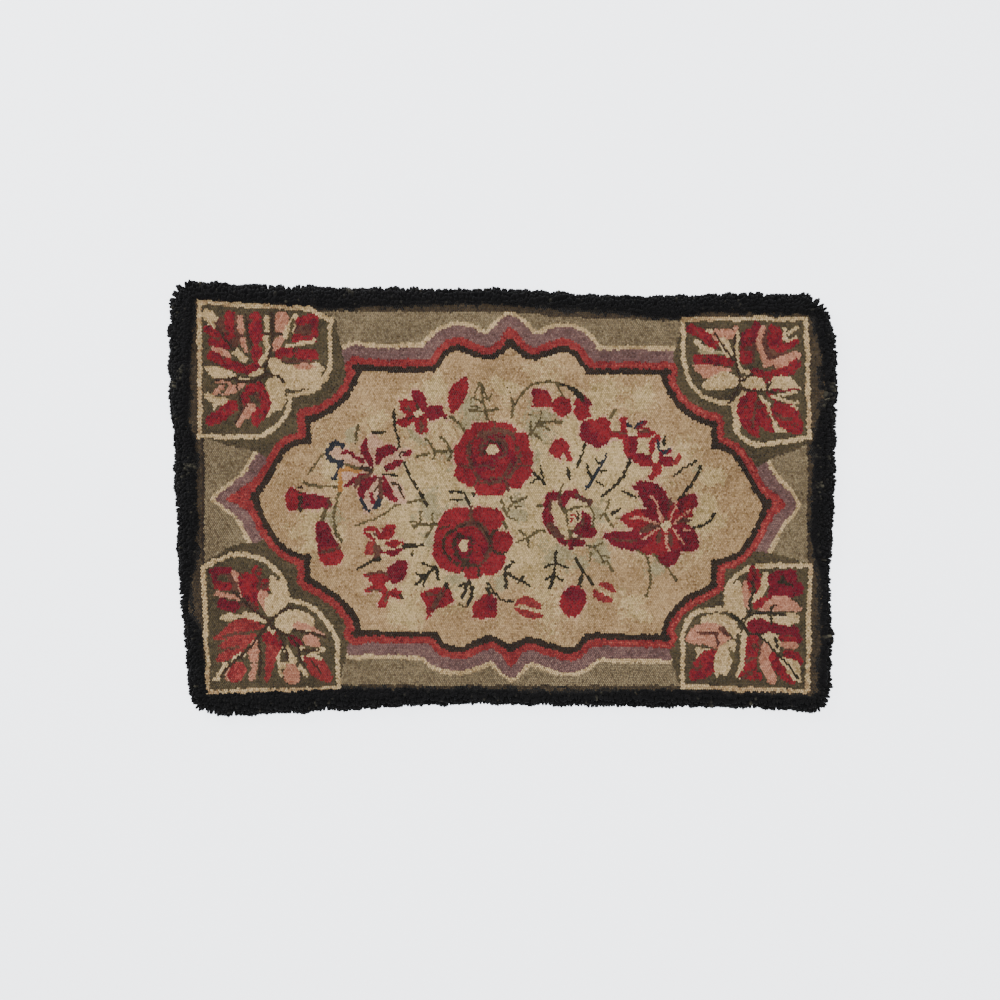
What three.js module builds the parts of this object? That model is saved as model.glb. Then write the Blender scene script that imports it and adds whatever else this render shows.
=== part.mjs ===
// Hand-hooked wool rug with a clipped shag border, lying face up. Millimetres, +Z up.
//
// The looped field and the shag border stand in one foundation cloth, so the rug is one solid:
// a flat underside, a rim of shag locks, a raised lumpy border and a low field inside it.
//
// +X runs along the rug's length and +Y across its width. The origin lies on the underside,
// below the middle of the outline.

import * as THREE from 'three';
import { ImprovedNoise } from 'three/addons/math/ImprovedNoise.js';

// Driving dimensions

const FIELD_HEIGHT = 8;
const FIELD_WAVE = { height: 0.8, length: 130 };
const SHAG_LUMP = { height: 3, length: 14 };
const LOCK_COUNT = 240;
const LOCK_SHIFT_SHARE = 0.32;
const LOCK_REACH = { shortest: 3, longest: 9 };
const LOCK_TIP_SHARE = { smallest: 0.42, largest: 0.75 };
const LOCK_SIDEWAYS = 2.2;
const LOCK_DROOP = { least: 0.6, most: 3.2 };
const RUG_COLOR = 0xa88c6c;
const RANDOM_SEED = 1907;

// The outline that the shag reaches, anticlockwise from the lower left corner. The rug was
// never quite square: its left side leans and its edges bow by up to 15 mm.
const OUTLINE = [
  { x: -462, y: -325 },
  { x: -243, y: -324 },
  { x: -69, y: -316 },
  { x: 180, y: -319 },
  { x: 325, y: -321 },
  { x: 434, y: -323 },
  { x: 488, y: -325 },
  { x: 499, y: -290 },
  { x: 502, y: -211 },
  { x: 498, y: -139 },
  { x: 505, y: 41 },
  { x: 508, y: 208 },
  { x: 498, y: 272 },
  { x: 480, y: 301 },
  { x: 415, y: 310 },
  { x: 289, y: 308 },
  { x: 182, y: 305 },
  { x: 23, y: 316 },
  { x: -243, y: 318 },
  { x: -400, y: 322 },
  { x: -488, y: 327 },
  { x: -504, y: 310 },
  { x: -508, y: 179 },
  { x: -501, y: 81 },
  { x: -498, y: -15 },
  { x: -492, y: -134 },
  { x: -485, y: -205 },
  { x: -477, y: -300 },
];

// Rings of points from the flat underside, over the rim and the shag, to its foot on the
// field. Inset is measured inwards from the outline, and lump is the share of SHAG_LUMP.
const SHAG_RINGS = [
  { inset: 12, height: 0, lump: 0 },
  { inset: 7.5, height: 3, lump: 0.35 },
  { inset: 7.5, height: 10.5, lump: 0.5 },
  { inset: 13, height: 14, lump: 1 },
  { inset: 22, height: 13.5, lump: 1 },
  { inset: 30, height: FIELD_HEIGHT, lump: 0.25 },
];

// The lower ring of the two that the locks grow between.
const LOCK_RING = 1;

// Rings across the field. Each has half as many points as the one outside it.
const FIELD_INSETS = [52, 105, 190];

const OUTLINE_HALF_LENGTH = Math.max(...OUTLINE.map((point) => Math.abs(point.x)));
const OUTLINE_HALF_WIDTH = Math.max(...OUTLINE.map((point) => Math.abs(point.y)));

const noise = new ImprovedNoise();

// A smooth bumpy value between about -1 and 1. Each layer is a pattern of its own.
function bumps(point, length, layer) {
  return 1.6 * noise.noise(point.x / length, point.y / length, layer * 7.3 + 0.5);
}

// A point of the outline moved inwards: both sides and both ends draw in by the same inset.
function inset(point, distance) {
  return new THREE.Vector3(
    point.x * (1 - distance / OUTLINE_HALF_LENGTH),
    point.y * (1 - distance / OUTLINE_HALF_WIDTH),
    0,
  );
}

function makeShagRing(outline, { inset: distance, height, lump }, layer) {
  return outline.map((point) => {
    const size = lump * SHAG_LUMP.height;
    const spot = inset(point, distance + size * bumps(point, SHAG_LUMP.length, layer));
    spot.z = height + size * bumps(point, SHAG_LUMP.length, layer + 0.5);
    return spot;
  });
}

function makeFieldRing(outline, distance, step) {
  const points = outline.filter((_, index) => index % step === 0);
  return points.map((point) => {
    const spot = inset(point, distance);
    spot.z = FIELD_HEIGHT + FIELD_WAVE.height * bumps(spot, FIELD_WAVE.length, 9);
    return spot;
  });
}

// Points and triangles of a closed surface, gathered face by face.
class Surface {
  constructor() {
    this.points = [];
    this.triangles = [];
  }

  addPoints(points) {
    const first = this.points.length;
    this.points.push(...points);
    return points.map((_, index) => first + index);
  }

  addQuad(a, b, c, d) {
    this.triangles.push(a, b, c, a, c, d);
  }

  // A band between two rings with as many points, without the quads that skip picks out.
  addBand(outer, inner, skip = () => false) {
    outer.forEach((point, index) => {
      const next = (index + 1) % outer.length;
      if (!skip(index)) {
        this.addQuad(point, outer[next], inner[next], inner[index]);
      }
    });
  }

  // A band to a ring with half as many points.
  addHalvingBand(outer, inner) {
    inner.forEach((point, index) => {
      const next = inner[(index + 1) % inner.length];
      const first = outer[2 * index];
      const middle = outer[2 * index + 1];
      const last = outer[(2 * index + 2) % outer.length];
      this.triangles.push(first, middle, point);
      this.triangles.push(middle, last, next);
      this.triangles.push(middle, next, point);
    });
  }

  // The face inside a ring.
  addFill(ring, facesDown) {
    const contour = ring.map((index) => this.points[index]);
    for (const [a, b, c] of THREE.ShapeUtils.triangulateShape(contour, [])) {
      const corners = facesDown ? [ring[a], ring[c], ring[b]] : [ring[a], ring[b], ring[c]];
      this.triangles.push(...corners);
    }
  }

  toGeometry() {
    const geometry = new THREE.BufferGeometry().setFromPoints(this.points);
    geometry.setIndex(this.triangles);
    geometry.computeVertexNormals();
    return geometry;
  }
}

// A four-sided lock of shag that grows out of one quad of the rim. It tapers, leans to one
// side and droops until its tip lies just clear of what the rug rests on.
function addLock(surface, corners, random) {
  const root = corners.map((index) => surface.points[index]);
  const middle = root.reduce((sum, point) => sum.clone().add(point)).divideScalar(root.length);
  const along = root[1].clone().sub(root[0]).setZ(0).normalize();
  const outward = new THREE.Vector3(along.y, -along.x, 0);
  const reach = THREE.MathUtils.lerp(LOCK_REACH.shortest, LOCK_REACH.longest, random());
  const lean = LOCK_SIDEWAYS * (2 * random() - 1);
  const droop = THREE.MathUtils.lerp(LOCK_DROOP.least, LOCK_DROOP.most, random());
  const tipShare = THREE.MathUtils.lerp(LOCK_TIP_SHARE.smallest, LOCK_TIP_SHARE.largest, random());
  const tipMiddle = middle.clone().addScaledVector(outward, reach).addScaledVector(along, lean);
  tipMiddle.z -= droop;
  const tip = root.map((point) => {
    return point.clone().sub(middle).multiplyScalar(tipShare).add(tipMiddle);
  });
  const tipCorners = surface.addPoints(tip);
  corners.forEach((corner, side) => {
    const next = (side + 1) % corners.length;
    surface.addQuad(corner, corners[next], tipCorners[next], tipCorners[side]);
  });
  surface.addQuad(...tipCorners);
}

// Two points for each lock, at its sides, unevenly spaced along the outline.
function makeOutline(random) {
  const corners = OUTLINE.map(({ x, y }) => new THREE.Vector3(x, y, 0));
  const curve = new THREE.CatmullRomCurve3(corners, true, 'centripetal');
  const count = 2 * LOCK_COUNT;
  return Array.from({ length: count }, (_, index) => {
    const shift = LOCK_SHIFT_SHARE * random();
    return curve.getPointAt((index + shift) / count);
  });
}

function makeRugGeometry() {
  THREE.MathUtils.seededRandom(RANDOM_SEED);
  const random = () => THREE.MathUtils.seededRandom();
  const outline = makeOutline(random);

  const surface = new Surface();
  const shagRings = SHAG_RINGS.map((row, layer) => {
    return surface.addPoints(makeShagRing(outline, row, layer));
  });
  const holdsLock = (index) => index % 2 === 0;
  surface.addFill(shagRings[0], true);
  shagRings.slice(1).forEach((ring, index) => {
    surface.addBand(shagRings[index], ring, index === LOCK_RING ? holdsLock : undefined);
  });

  const low = shagRings[LOCK_RING];
  const high = shagRings[LOCK_RING + 1];
  for (let index = 0; index < outline.length; index += 2) {
    const next = index + 1;
    addLock(surface, [low[index], low[next], high[next], high[index]], random);
  }

  let outer = shagRings.at(-1);
  FIELD_INSETS.forEach((distance, level) => {
    const ring = surface.addPoints(makeFieldRing(outline, distance, 2 ** (level + 1)));
    surface.addHalvingBand(outer, ring);
    outer = ring;
  });
  surface.addFill(outer, false);

  const geometry = surface.toGeometry();
  geometry.computeBoundingBox();
  const middle = geometry.boundingBox.getCenter(new THREE.Vector3());
  return geometry.translate(-middle.x, -middle.y, 0);
}

const woolMaterial = new THREE.MeshStandardMaterial({
  color: RUG_COLOR,
  roughness: 0.95,
  metalness: 0,
});

const rug = new THREE.Mesh(makeRugGeometry(), woolMaterial);
rug.name = 'hooked_rug';

const model = new THREE.Group();
model.add(rug);

export default model;
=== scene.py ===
# %% [markdown]
# This notebook dresses a hand-hooked rug. The real thing starts as a piece of hessian. Wool is
# pulled up through it with a hook, loop by loop, until the loops hide the cloth. Around the
# edge the hooker pulled the loops higher and cut them open, which makes a raised black shag.
# The rug's solid comes packed from the CAD side, and everything made here must fit inside it.

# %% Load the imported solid
import math

import bpy
import numpy as np
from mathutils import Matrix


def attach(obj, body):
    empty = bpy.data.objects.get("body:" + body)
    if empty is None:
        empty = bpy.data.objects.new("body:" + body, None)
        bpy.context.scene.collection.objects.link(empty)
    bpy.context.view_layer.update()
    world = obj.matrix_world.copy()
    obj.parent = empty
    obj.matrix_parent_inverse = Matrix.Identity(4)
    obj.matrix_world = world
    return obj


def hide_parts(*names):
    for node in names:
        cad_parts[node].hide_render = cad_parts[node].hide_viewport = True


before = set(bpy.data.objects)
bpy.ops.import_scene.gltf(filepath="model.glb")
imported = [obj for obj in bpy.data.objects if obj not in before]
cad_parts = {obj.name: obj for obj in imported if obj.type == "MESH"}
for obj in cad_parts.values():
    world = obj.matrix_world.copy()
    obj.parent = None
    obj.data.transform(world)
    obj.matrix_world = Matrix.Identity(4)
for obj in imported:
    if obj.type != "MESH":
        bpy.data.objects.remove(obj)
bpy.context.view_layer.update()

# %% [markdown]
# The photograph was taken square on, so the camera hangs straight above the middle of the rug
# and looks down. A 50 mm lens on a 36 mm sensor takes in 0.72 m for each metre of distance.
# The picture is 1.527 m wide at the pile, which gives the height.

# %% Camera
MILLIMETRE = 0.001
PILE_HEIGHT = 8.2
PICTURE_WIDTH = 1.527
VIEW_MIDDLE_X = -0.0046
VIEW_MIDDLE_Y = -0.0024
LENS_LENGTH = 50
SENSOR_WIDTH = 36

camera_height = PICTURE_WIDTH * LENS_LENGTH / SENSOR_WIDTH + PILE_HEIGHT * MILLIMETRE
bpy.ops.object.camera_add(location=(VIEW_MIDDLE_X, VIEW_MIDDLE_Y, camera_height))
camera = bpy.context.object
camera.name = "camera"
camera.data.lens = LENS_LENGTH
camera.data.sensor_width = SENSOR_WIDTH
bpy.context.scene.camera = camera
print("camera is", round(camera_height, 3), "m above the floor")

# %% [markdown]
# The pattern is worked out as a hooker works: each tuft of wool stands at a place of its own
# on the cloth, and the yarn that it is hooked with is chosen there. So the edges of the
# colours step from tuft to tuft, as they do in a real hooked rug. The tufts stand in rows,
# every second row is shifted by half a tuft, and a hand never sets them quite evenly. The edge
# of the cloth is read from the solid: its lowest points are a ring 12 mm inside the outline.

# %% Edge of the rug
CLOTH_EDGE_INSET = 12.0
HALF_LENGTH = 508.0
HALF_WIDTH = 327.0
LOWEST = 0.01
RING_POINTS = 200
CLOTH_POINTS = 240
chance = np.random.default_rng(1907)


def lowest_ring():
    """The solid's lowest points in millimetres, anticlockwise."""
    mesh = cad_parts["hooked_rug"].data
    points = np.empty(3 * len(mesh.vertices))
    mesh.vertices.foreach_get("co", points)
    points = points.reshape(-1, 3) / MILLIMETRE
    ring = np.unique(np.round(points[points[:, 2] < LOWEST, :2], 2), axis=0)
    return ring[np.argsort(np.arctan2(ring[:, 1], ring[:, 0]))]


def closed(ring):
    """A ring with its first point once more at its end."""
    return np.vstack([ring, ring[:1]])


def edge_ring(inset, count):
    """Evenly spaced points of the rug's outline, moved inwards by this many millimetres."""
    ring = closed(lowest_ring())
    ring[:, 0] *= (1 - inset / HALF_LENGTH) / (1 - CLOTH_EDGE_INSET / HALF_LENGTH)
    ring[:, 1] *= (1 - inset / HALF_WIDTH) / (1 - CLOTH_EDGE_INSET / HALF_WIDTH)
    steps = np.hypot(*np.diff(ring, axis=0).T)
    passed = np.concatenate([[0], np.cumsum(steps)])
    places = np.linspace(0, passed[-1], count, endpoint=False)
    return np.stack([np.interp(places, passed, side) for side in ring.T], axis=1)


print("points on the solid's lowest ring:", len(lowest_ring()))

# %% [markdown]
# The inner edge of the shag was never straight: it gives way to the corner panels and wanders
# beside them. It is a ring of places around the field, in millimetres, clockwise from the upper
# left. The tufts of the field reach a few millimetres under it, so that no cloth shows.

# %% Tuft places
TUFT_PITCH_X = 3.0
TUFT_PITCH_Y = 2.6
TUFT_SHIFT = 0.36
TUFTS_UNDER_SHAG = 4.0
SHAG_FOOT = [
    (-473, 305), (-386, 301), (-304, 295), (-249, 291), (-188, 296), (-66, 300), (56, 295), (179, 286),
    (240, 279), (270, 277), (301, 286), (362, 286), (453, 284), (476, 280), (488, 215), (491, 150),
    (478, 95), (474, 0), (472, -60), (484, -115), (486, -210), (482, -296), (472, -303), (362, -299),
    (240, -294), (100, -297), (-60, -292), (-218, -292), (-340, -296), (-452, -302), (-459, -250),
    (-462, -205), (-476, -175), (-477, -130), (-470, -80), (-469, 0), (-472, 80), (-482, 110), (-480, 200),
]


def enclosed(x, y, ring):
    """Which places lie inside a ring of points."""
    ring = np.array(ring, float)
    inside = np.zeros(x.shape, bool)
    for (ax, ay), (bx, by) in zip(ring, np.roll(ring, -1, axis=0)):
        if ay == by:
            continue
        crosses = (ay > y) != (by > y)
        inside ^= crosses & (x < (bx - ax) * (y - ay) / (by - ay) + ax)
    return inside


def lay_tufts():
    """Places of the tufts over the whole field, in millimetres, row by row."""
    rows = np.arange(-HALF_WIDTH, HALF_WIDTH, TUFT_PITCH_Y)
    columns = np.arange(-HALF_LENGTH, HALF_LENGTH, TUFT_PITCH_X)
    x, y = np.meshgrid(columns, rows)
    x[1::2] += TUFT_PITCH_X / 2
    shift = chance.uniform(-TUFT_SHIFT, TUFT_SHIFT, (2,) + x.shape)
    x, y = (x + shift[0]).ravel(), (y + shift[1]).ravel()
    drawn_in = (1 - TUFTS_UNDER_SHAG / HALF_LENGTH, 1 - TUFTS_UNDER_SHAG / HALF_WIDTH)
    shown = enclosed(x * drawn_in[0], y * drawn_in[1], SHAG_FOOT)
    return x[shown], y[shown]


tuft_x, tuft_y = lay_tufts()
print("places for tufts:", len(tuft_x))

# %% [markdown]
# Hand work is uneven on every scale: lines wander, dye lots change and rows bunch up. One
# smooth noise serves all of that. It fixes a random number at each corner of a square net and
# blends between the corners, so it is the same in each run. Each use takes a layer of its own,
# so that no two of them agree.

# %% Uneven values
def corner_values(column, row, layer):
    """A fixed random number from 0 to 1 for each corner of the net."""
    mixed = (column * 374761393 + row * 668265263 + layer * 1442695041) & 0xFFFFFFFF
    mixed = ((mixed ^ (mixed >> 13)) * 1274126177) & 0xFFFFFFFF
    return ((mixed ^ (mixed >> 16)) & 0xFFFF) / 0xFFFF


def uneven(x, y, length, layer):
    """A smooth value from -1 to 1 that changes over about this length."""
    column, row = np.floor(x / length).astype(np.int64), np.floor(y / length).astype(np.int64)
    across, up = x / length - column, y / length - row
    across, up = across * across * (3 - 2 * across), up * up * (3 - 2 * up)
    low = corner_values(column, row, layer) * (1 - across)
    low += corner_values(column + 1, row, layer) * across
    high = corner_values(column, row + 1, layer) * (1 - across)
    high += corner_values(column + 1, row + 1, layer) * across
    return 2 * (low * (1 - up) + high * up) - 1


# %% [markdown]
# Every motif is drawn with lines. These helpers make a smooth line through some points, and
# say how far each tuft is from a line and which way that distance grows. Each answers for
# all tufts at once, which keeps the script quick.

# %% Lines that the motifs are drawn with
def curve_through(points, steps, round_trip=False):
    """Points of a smooth curve that passes through the given ones, with steps between them."""
    points = np.array(points, float)
    if round_trip:
        padded = np.vstack([points[-1:], points, points[:2]])
    else:
        padded = np.vstack([2 * points[0] - points[1], points, 2 * points[-1] - points[-2]])
    share = np.linspace(0, 1, steps, endpoint=False)[:, None]
    spans = []
    for a, b, c, d in zip(padded, padded[1:], padded[2:], padded[3:]):
        bend = (2 * a - 5 * b + 4 * c - d) * share + (3 * b - a - 3 * c + d) * share**2
        spans.append(0.5 * (2 * b + (c - a) * share + bend * share))
    if not round_trip:
        spans.append(points[-1:])
    return np.vstack(spans)


def line_distance(x, y, line):
    """How far each place is from a line of straight steps."""
    nearest = np.full(x.shape, np.inf)
    for (ax, ay), (bx, by) in zip(line, line[1:]):
        dx, dy = bx - ax, by - ay
        share = ((x - ax) * dx + (y - ay) * dy) / max(dx * dx + dy * dy, 1e-9)
        share = np.clip(share, 0, 1)
        nearest = np.minimum(nearest, np.hypot(x - ax - share * dx, y - ay - share * dy))
    return nearest


def distance_rises(x, y, line, step):
    """How much the distance from a line grows to the right and upwards, over two steps."""
    right = line_distance(x + step, y, line) - line_distance(x - step, y, line)
    up = line_distance(x, y + step, line) - line_distance(x, y - step, line)
    return right, up


# %% [markdown]
# Each yarn has a name and three tones, from its darkest dye to its lightest. Wool for such a
# rug came out of the dye pot unevenly, or out of old clothes, so no area is one flat colour.
# Colours are written as 0 to 255 per channel, as in paint programs.

# %% Yarns and their tones
YARNS = {
    "ground": ((126, 98, 64), (194, 160, 116), (224, 196, 152)),
    "pale": ((142, 120, 78), (213, 185, 134), (236, 215, 171)),
    "sage": ((116, 104, 70), (182, 165, 125), (208, 194, 154)),
    "blush": ((152, 112, 86), (208, 168, 138), (230, 196, 168)),
    "khaki": ((84, 70, 48), (136, 118, 88), (178, 160, 124)),
    "olive": ((46, 38, 24), (84, 71, 48), (120, 106, 76)),
    "brown_edge": ((34, 26, 16), (72, 58, 41), (108, 92, 66)),
    "soot": ((10, 9, 10), (24, 21, 19), (62, 54, 42)),
    "dark_line": ((22, 16, 11), (48, 34, 23), (82, 62, 44)),
    "brick": ((96, 22, 28), (150, 46, 48), (194, 92, 82)),
    "coral": ((130, 44, 42), (182, 78, 70), (214, 122, 106)),
    "lavender": ((80, 56, 54), (124, 90, 85), (166, 134, 122)),
    "cream": ((144, 118, 76), (216, 187, 139), (240, 220, 178)),
    "red": ((82, 10, 20), (145, 26, 40), (182, 60, 62)),
    "crimson": ((58, 4, 16), (122, 12, 38), (160, 44, 58)),
    "salmon": ((142, 86, 62), (198, 138, 111), (226, 180, 150)),
    "bark": ((34, 22, 14), (62, 42, 28), (98, 74, 52)),
    "petal_brown": ((58, 28, 22), (96, 56, 45), (132, 92, 72)),
    "moss": ((58, 50, 28), (96, 82, 52), (134, 120, 84)),
    "ink": ((20, 16, 9), (44, 36, 21), (82, 70, 46)),
    "navy": ((20, 22, 28), (38, 41, 51), (74, 74, 80)),
    "mustard": ((130, 82, 34), (182, 124, 62), (210, 158, 94)),
}
YARN_NAMES = list(YARNS)
tuft_yarn = np.full(len(tuft_x), YARN_NAMES.index("khaki"))
tuft_heading = np.full(len(tuft_x), 90.0)

# Where a hand meant the tuft to go. Lines wander by a millimetre or two around that.
DRIFT, DRIFT_LENGTH = 1.6, 28
SLIP, SLIP_LENGTH = 1.3, 5


def wandered(places, layer):
    """Places shifted a little, on a broad scale and on a fine one."""
    drift = DRIFT * uneven(tuft_x, tuft_y, DRIFT_LENGTH, layer)
    return places + drift + SLIP * uneven(tuft_x, tuft_y, SLIP_LENGTH, layer + 1)


drawn_x = wandered(tuft_x, 1)
drawn_y = wandered(tuft_y, 3)


def hook(yarn, where):
    """Hooks the chosen places with this yarn, over what was there."""
    tuft_yarn[where] = YARN_NAMES.index(yarn)


def near(middle, reach):
    """Numbers of the tufts within this reach of a place, so that small motifs stay quick."""
    return np.nonzero(
        (np.abs(drawn_x - middle[0]) < reach) & (np.abs(drawn_y - middle[1]) < reach)
    )[0]


def hook_near(yarn, spots, where):
    """Hooks those of the numbered tufts that where picks out."""
    hook(yarn, spots[where])


# %% [markdown]
# The medallion is a traditional lobed frame. One quarter is drawn as a list of turning points,
# measured from its middle line, with one height for the upper half and one for the lower. It
# is mirrored to all four quarters. Sharp points are given twice, which stops the smooth curve
# from rounding them. The hooker set the frame a little crooked, so it falls to the right.

# %% Outline of the medallion
MEDALLION_MIDDLE_X = 12
MEDALLION_SLOPE = -0.0125
OUTLINE_STEPS = 4
MEDALLION_QUARTER = [
    {"across": 0, "up": 237, "down": -228, "sharp": True},
    {"across": 28, "up": 216, "down": -215, "sharp": False},
    {"across": 52, "up": 220, "down": -222, "sharp": False},
    {"across": 78, "up": 230, "down": -231, "sharp": False},
    {"across": 100, "up": 221, "down": -228, "sharp": False},
    {"across": 112, "up": 203, "down": -214, "sharp": False},
    {"across": 124, "up": 196, "down": -209, "sharp": True},
    {"across": 232, "up": 196, "down": -209, "sharp": True},
    {"across": 241, "up": 171, "down": -184, "sharp": False},
    {"across": 263, "up": 141, "down": -156, "sharp": False},
    {"across": 292, "up": 123, "down": -138, "sharp": False},
    {"across": 311, "up": 117, "down": -127, "sharp": True},
    {"across": 311, "up": 85, "down": -94, "sharp": True},
    {"across": 340, "up": 74, "down": -85, "sharp": False},
    {"across": 359, "up": 49, "down": -68, "sharp": False},
    {"across": 375, "up": 20, "down": -42, "sharp": False},
    {"across": 391, "up": -4, "down": -4, "sharp": True},
]


def medallion_ring():
    """The whole outline, anticlockwise from the upper cusp."""
    quarters = []
    for side, height in ((-1, "up"), (-1, "down"), (1, "down"), (1, "up")):
        quarter = []
        for row in MEDALLION_QUARTER:
            across = side * row["across"]
            spot = (MEDALLION_MIDDLE_X + across, row[height] + MEDALLION_SLOPE * across)
            quarter += [spot] * (2 if row["sharp"] else 1)
        clockwise = (side > 0) == (height == "up")
        quarters += quarter[::-1] if clockwise else quarter
    return curve_through(quarters, OUTLINE_STEPS, round_trip=True)


medallion = medallion_ring()
beyond = line_distance(drawn_x, drawn_y, closed(medallion))
in_medallion = enclosed(drawn_x, drawn_y, medallion)
beyond[in_medallion] *= -1
print("tufts inside the medallion:", int(in_medallion.sum()))

# %% [markdown]
# Four bands follow the medallion outwards: a dark line, a brick red band, a lavender one and
# a cream line. At the four cusps the outer bands reach further out, to points of their own, so
# each band's distance is stretched there. The stretch fades to nothing beside the cusp, and
# the narrowing says how quickly. On the right a worn coral line runs along the middle of the
# red. Distances beyond the medallion are negative inside it.

# %% Bands around the medallion
BANDS = [
    {"yarn": "dark_line", "reach": 4.6, "tip": 0.1, "narrowing": 2.0},
    {"yarn": "brick", "reach": 15.2, "tip": 1.1, "narrowing": 2.6},
    {"yarn": "lavender", "reach": 33.0, "tip": 1.0, "narrowing": 1.4},
    {"yarn": "cream", "reach": 39.5, "tip": 1.05, "narrowing": 1.4},
]
CORAL_LINE = {"beyond": 10, "half_width": 1.7, "from_x": 150, "share": 0.6}
SLOPE_STEP = 2.0
CUSPS = [
    {"x": 12, "y": 237, "stretch": 9, "half_width": 24},
    {"x": 12, "y": -228, "stretch": 14, "half_width": 26},
    {"x": -379, "y": 0, "stretch": 27, "half_width": 40},
    {"x": 403, "y": -9, "stretch": 12, "half_width": 34},
]


def cusp_stretch(narrowing):
    """Extra reach of a band at each tuft, in millimetres."""
    extra = np.zeros(len(drawn_x))
    for cusp in CUSPS:
        on_side = abs(cusp["x"]) > abs(cusp["y"])
        aside = np.abs(drawn_y - cusp["y"]) if on_side else np.abs(drawn_x - cusp["x"])
        outwards = cusp["x"] * drawn_x > 0 if on_side else cusp["y"] * drawn_y > 0
        share = np.clip(1 - aside / cusp["half_width"], 0, 1) ** narrowing
        extra = np.maximum(extra, np.where(outwards, cusp["stretch"] * share, 0))
    return extra


def hook_bands():
    """Hooks the bands from the outermost inwards, and turns their tufts across them."""
    for band in reversed(BANDS):
        extra = cusp_stretch(band["narrowing"])
        hook(band["yarn"], beyond < band["reach"] + band["tip"] * extra)
    worn = chance.uniform(0, 1, len(drawn_x)) < CORAL_LINE["share"]
    in_line = np.abs(beyond - CORAL_LINE["beyond"]) < CORAL_LINE["half_width"]
    hook("coral", worn & in_line & (drawn_x > CORAL_LINE["from_x"]))
    rise_x, rise_y = distance_rises(drawn_x, drawn_y, closed(medallion), SLOPE_STEP)
    banded = (beyond > 0) & (beyond < BANDS[-1]["reach"])
    tuft_heading[banded] = np.degrees(np.arctan2(rise_y, rise_x))[banded]


hook_bands()

# %% [markdown]
# Each corner holds a panel with a cream outline, which turns tan along most of its outer
# sides. Those sides are straight, and on its inner side two rounded lobes meet in a notch. A
# lobe is a rectangle that starts at the outer corner and has one rounded corner, so a panel is
# two lobes laid over each other. A slanting cut takes off one more corner, except on the last
# panel, where it passes outside. A lobe is given by its length, height and radius, the side
# and the end by an offset and a slope, and the cut by a direction and a distance.

# %% Corner panels
PANEL_LINE = 7.0
PANELS = [
    {"x": -467, "y": 301, "wide": (207, 147, 58), "tall": (144, 210, 62), "side": (0, 0),
     "end": (-3.5, 0.065), "cut": (0.466, -0.885, 72.5)},
    {"x": 470, "y": 277, "wide": (198, 136, 74), "tall": (119, 198, 40), "side": (3, -0.032),
     "end": (-1, 0), "cut": (-0.177, 0.984, 184.0)},
    {"x": -461, "y": -292, "wide": (212, 139, 82), "tall": (137, 209, 78), "side": (7, -0.045),
     "end": (-8, 0.03), "cut": (-0.41, 0.912, 173.0)},
    {"x": 472, "y": -297, "wide": (201, 131, 46), "tall": (133, 198, 54), "side": (4, -0.03),
     "end": (-2, 0.04), "cut": (0, 1, 198.0)},
]


def lobe_distance(x, y, lobe):
    """Distance outside a lobe, below 0 inside. x and y run inwards from the outer corner."""
    length, height, radius = lobe
    past_x, past_y = x - (length - radius), y - (height - radius)
    rounded = np.hypot(np.maximum(past_x, 0), np.maximum(past_y, 0)) - radius
    straight = np.maximum(x - length, y - height)
    return np.where((past_x > 0) & (past_y > 0), rounded, straight)


def panel_distances(panel):
    """Distances outside a panel and past its outer sides, below 0 inside."""
    x = -math.copysign(1, panel["x"]) * (drawn_x - panel["x"])
    y = -math.copysign(1, panel["y"]) * (drawn_y - panel["y"])
    lobes = np.minimum(lobe_distance(x, y, panel["wide"]), lobe_distance(x, y, panel["tall"]))
    past_side = panel["side"][0] + panel["side"][1] * y - x
    past_end = panel["end"][0] + panel["end"][1] * x - y
    past_cut = panel["cut"][0] * x + panel["cut"][1] * y - panel["cut"][2]
    past_outer = np.maximum(past_side, past_end)
    return np.maximum(np.maximum(lobes, past_cut), past_outer), past_outer


def notch_of(panel):
    """Where the two lobes of a panel meet."""
    x = panel["x"] - math.copysign(panel["tall"][0] - 2, panel["x"])
    y = panel["y"] - math.copysign(panel["wide"][1] - 2, panel["y"])
    return x, y


# %% [markdown]
# Outside the bands lies a khaki ground. Beside each panel a dark olive wedge is widest at the
# notch and dies away towards the rug's edge, and it takes the place of the lavender band.
# Between the field and the shag runs a ragged brown strip with tufts of black wool in it.

# %% Ground of the field
FIELD_RING = [
    (-456, 284), (-60, 286), (14, 284), (60, 280), (120, 276), (200, 273), (272, 272), (465, 272),
    (465, -284), (90, -286), (-456, -284),
]
WEDGE = {"width": 21.0, "reach": 142, "fade": 48}
NOTCH_FILL = {"beyond": 46, "reach": 100, "gap": 30}
SOOT_WIDTH = 3.5
LEFT_LINE = {"x": -458, "half_width": 1.7, "half_length": 100}
TAN_BELOW = -0.3
KHAKI_ABOVE = 1.7
in_field = enclosed(drawn_x, drawn_y, FIELD_RING)
panel_gap = np.full(len(tuft_x), np.inf)
outer_gap = np.full(len(tuft_x), -np.inf)
for panel in PANELS:
    gap, past_outer = panel_distances(panel)
    from_notch = np.hypot(drawn_x - notch_of(panel)[0], drawn_y - notch_of(panel)[1])
    wedge = WEDGE["width"] * np.clip((WEDGE["reach"] - from_notch) / WEDGE["fade"], 0, 1)
    outside = (gap > 0) & (beyond > BANDS[1]["reach"])
    hook("olive", outside & (gap < wedge))
    in_notch = (beyond < NOTCH_FILL["beyond"]) & (from_notch < NOTCH_FILL["reach"])
    hook("olive", outside & in_notch & (gap < NOTCH_FILL["gap"]))
    panel_gap = np.minimum(panel_gap, gap)
    outer_gap = np.maximum(outer_gap, np.where(gap < 0, past_outer, -np.inf))

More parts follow.
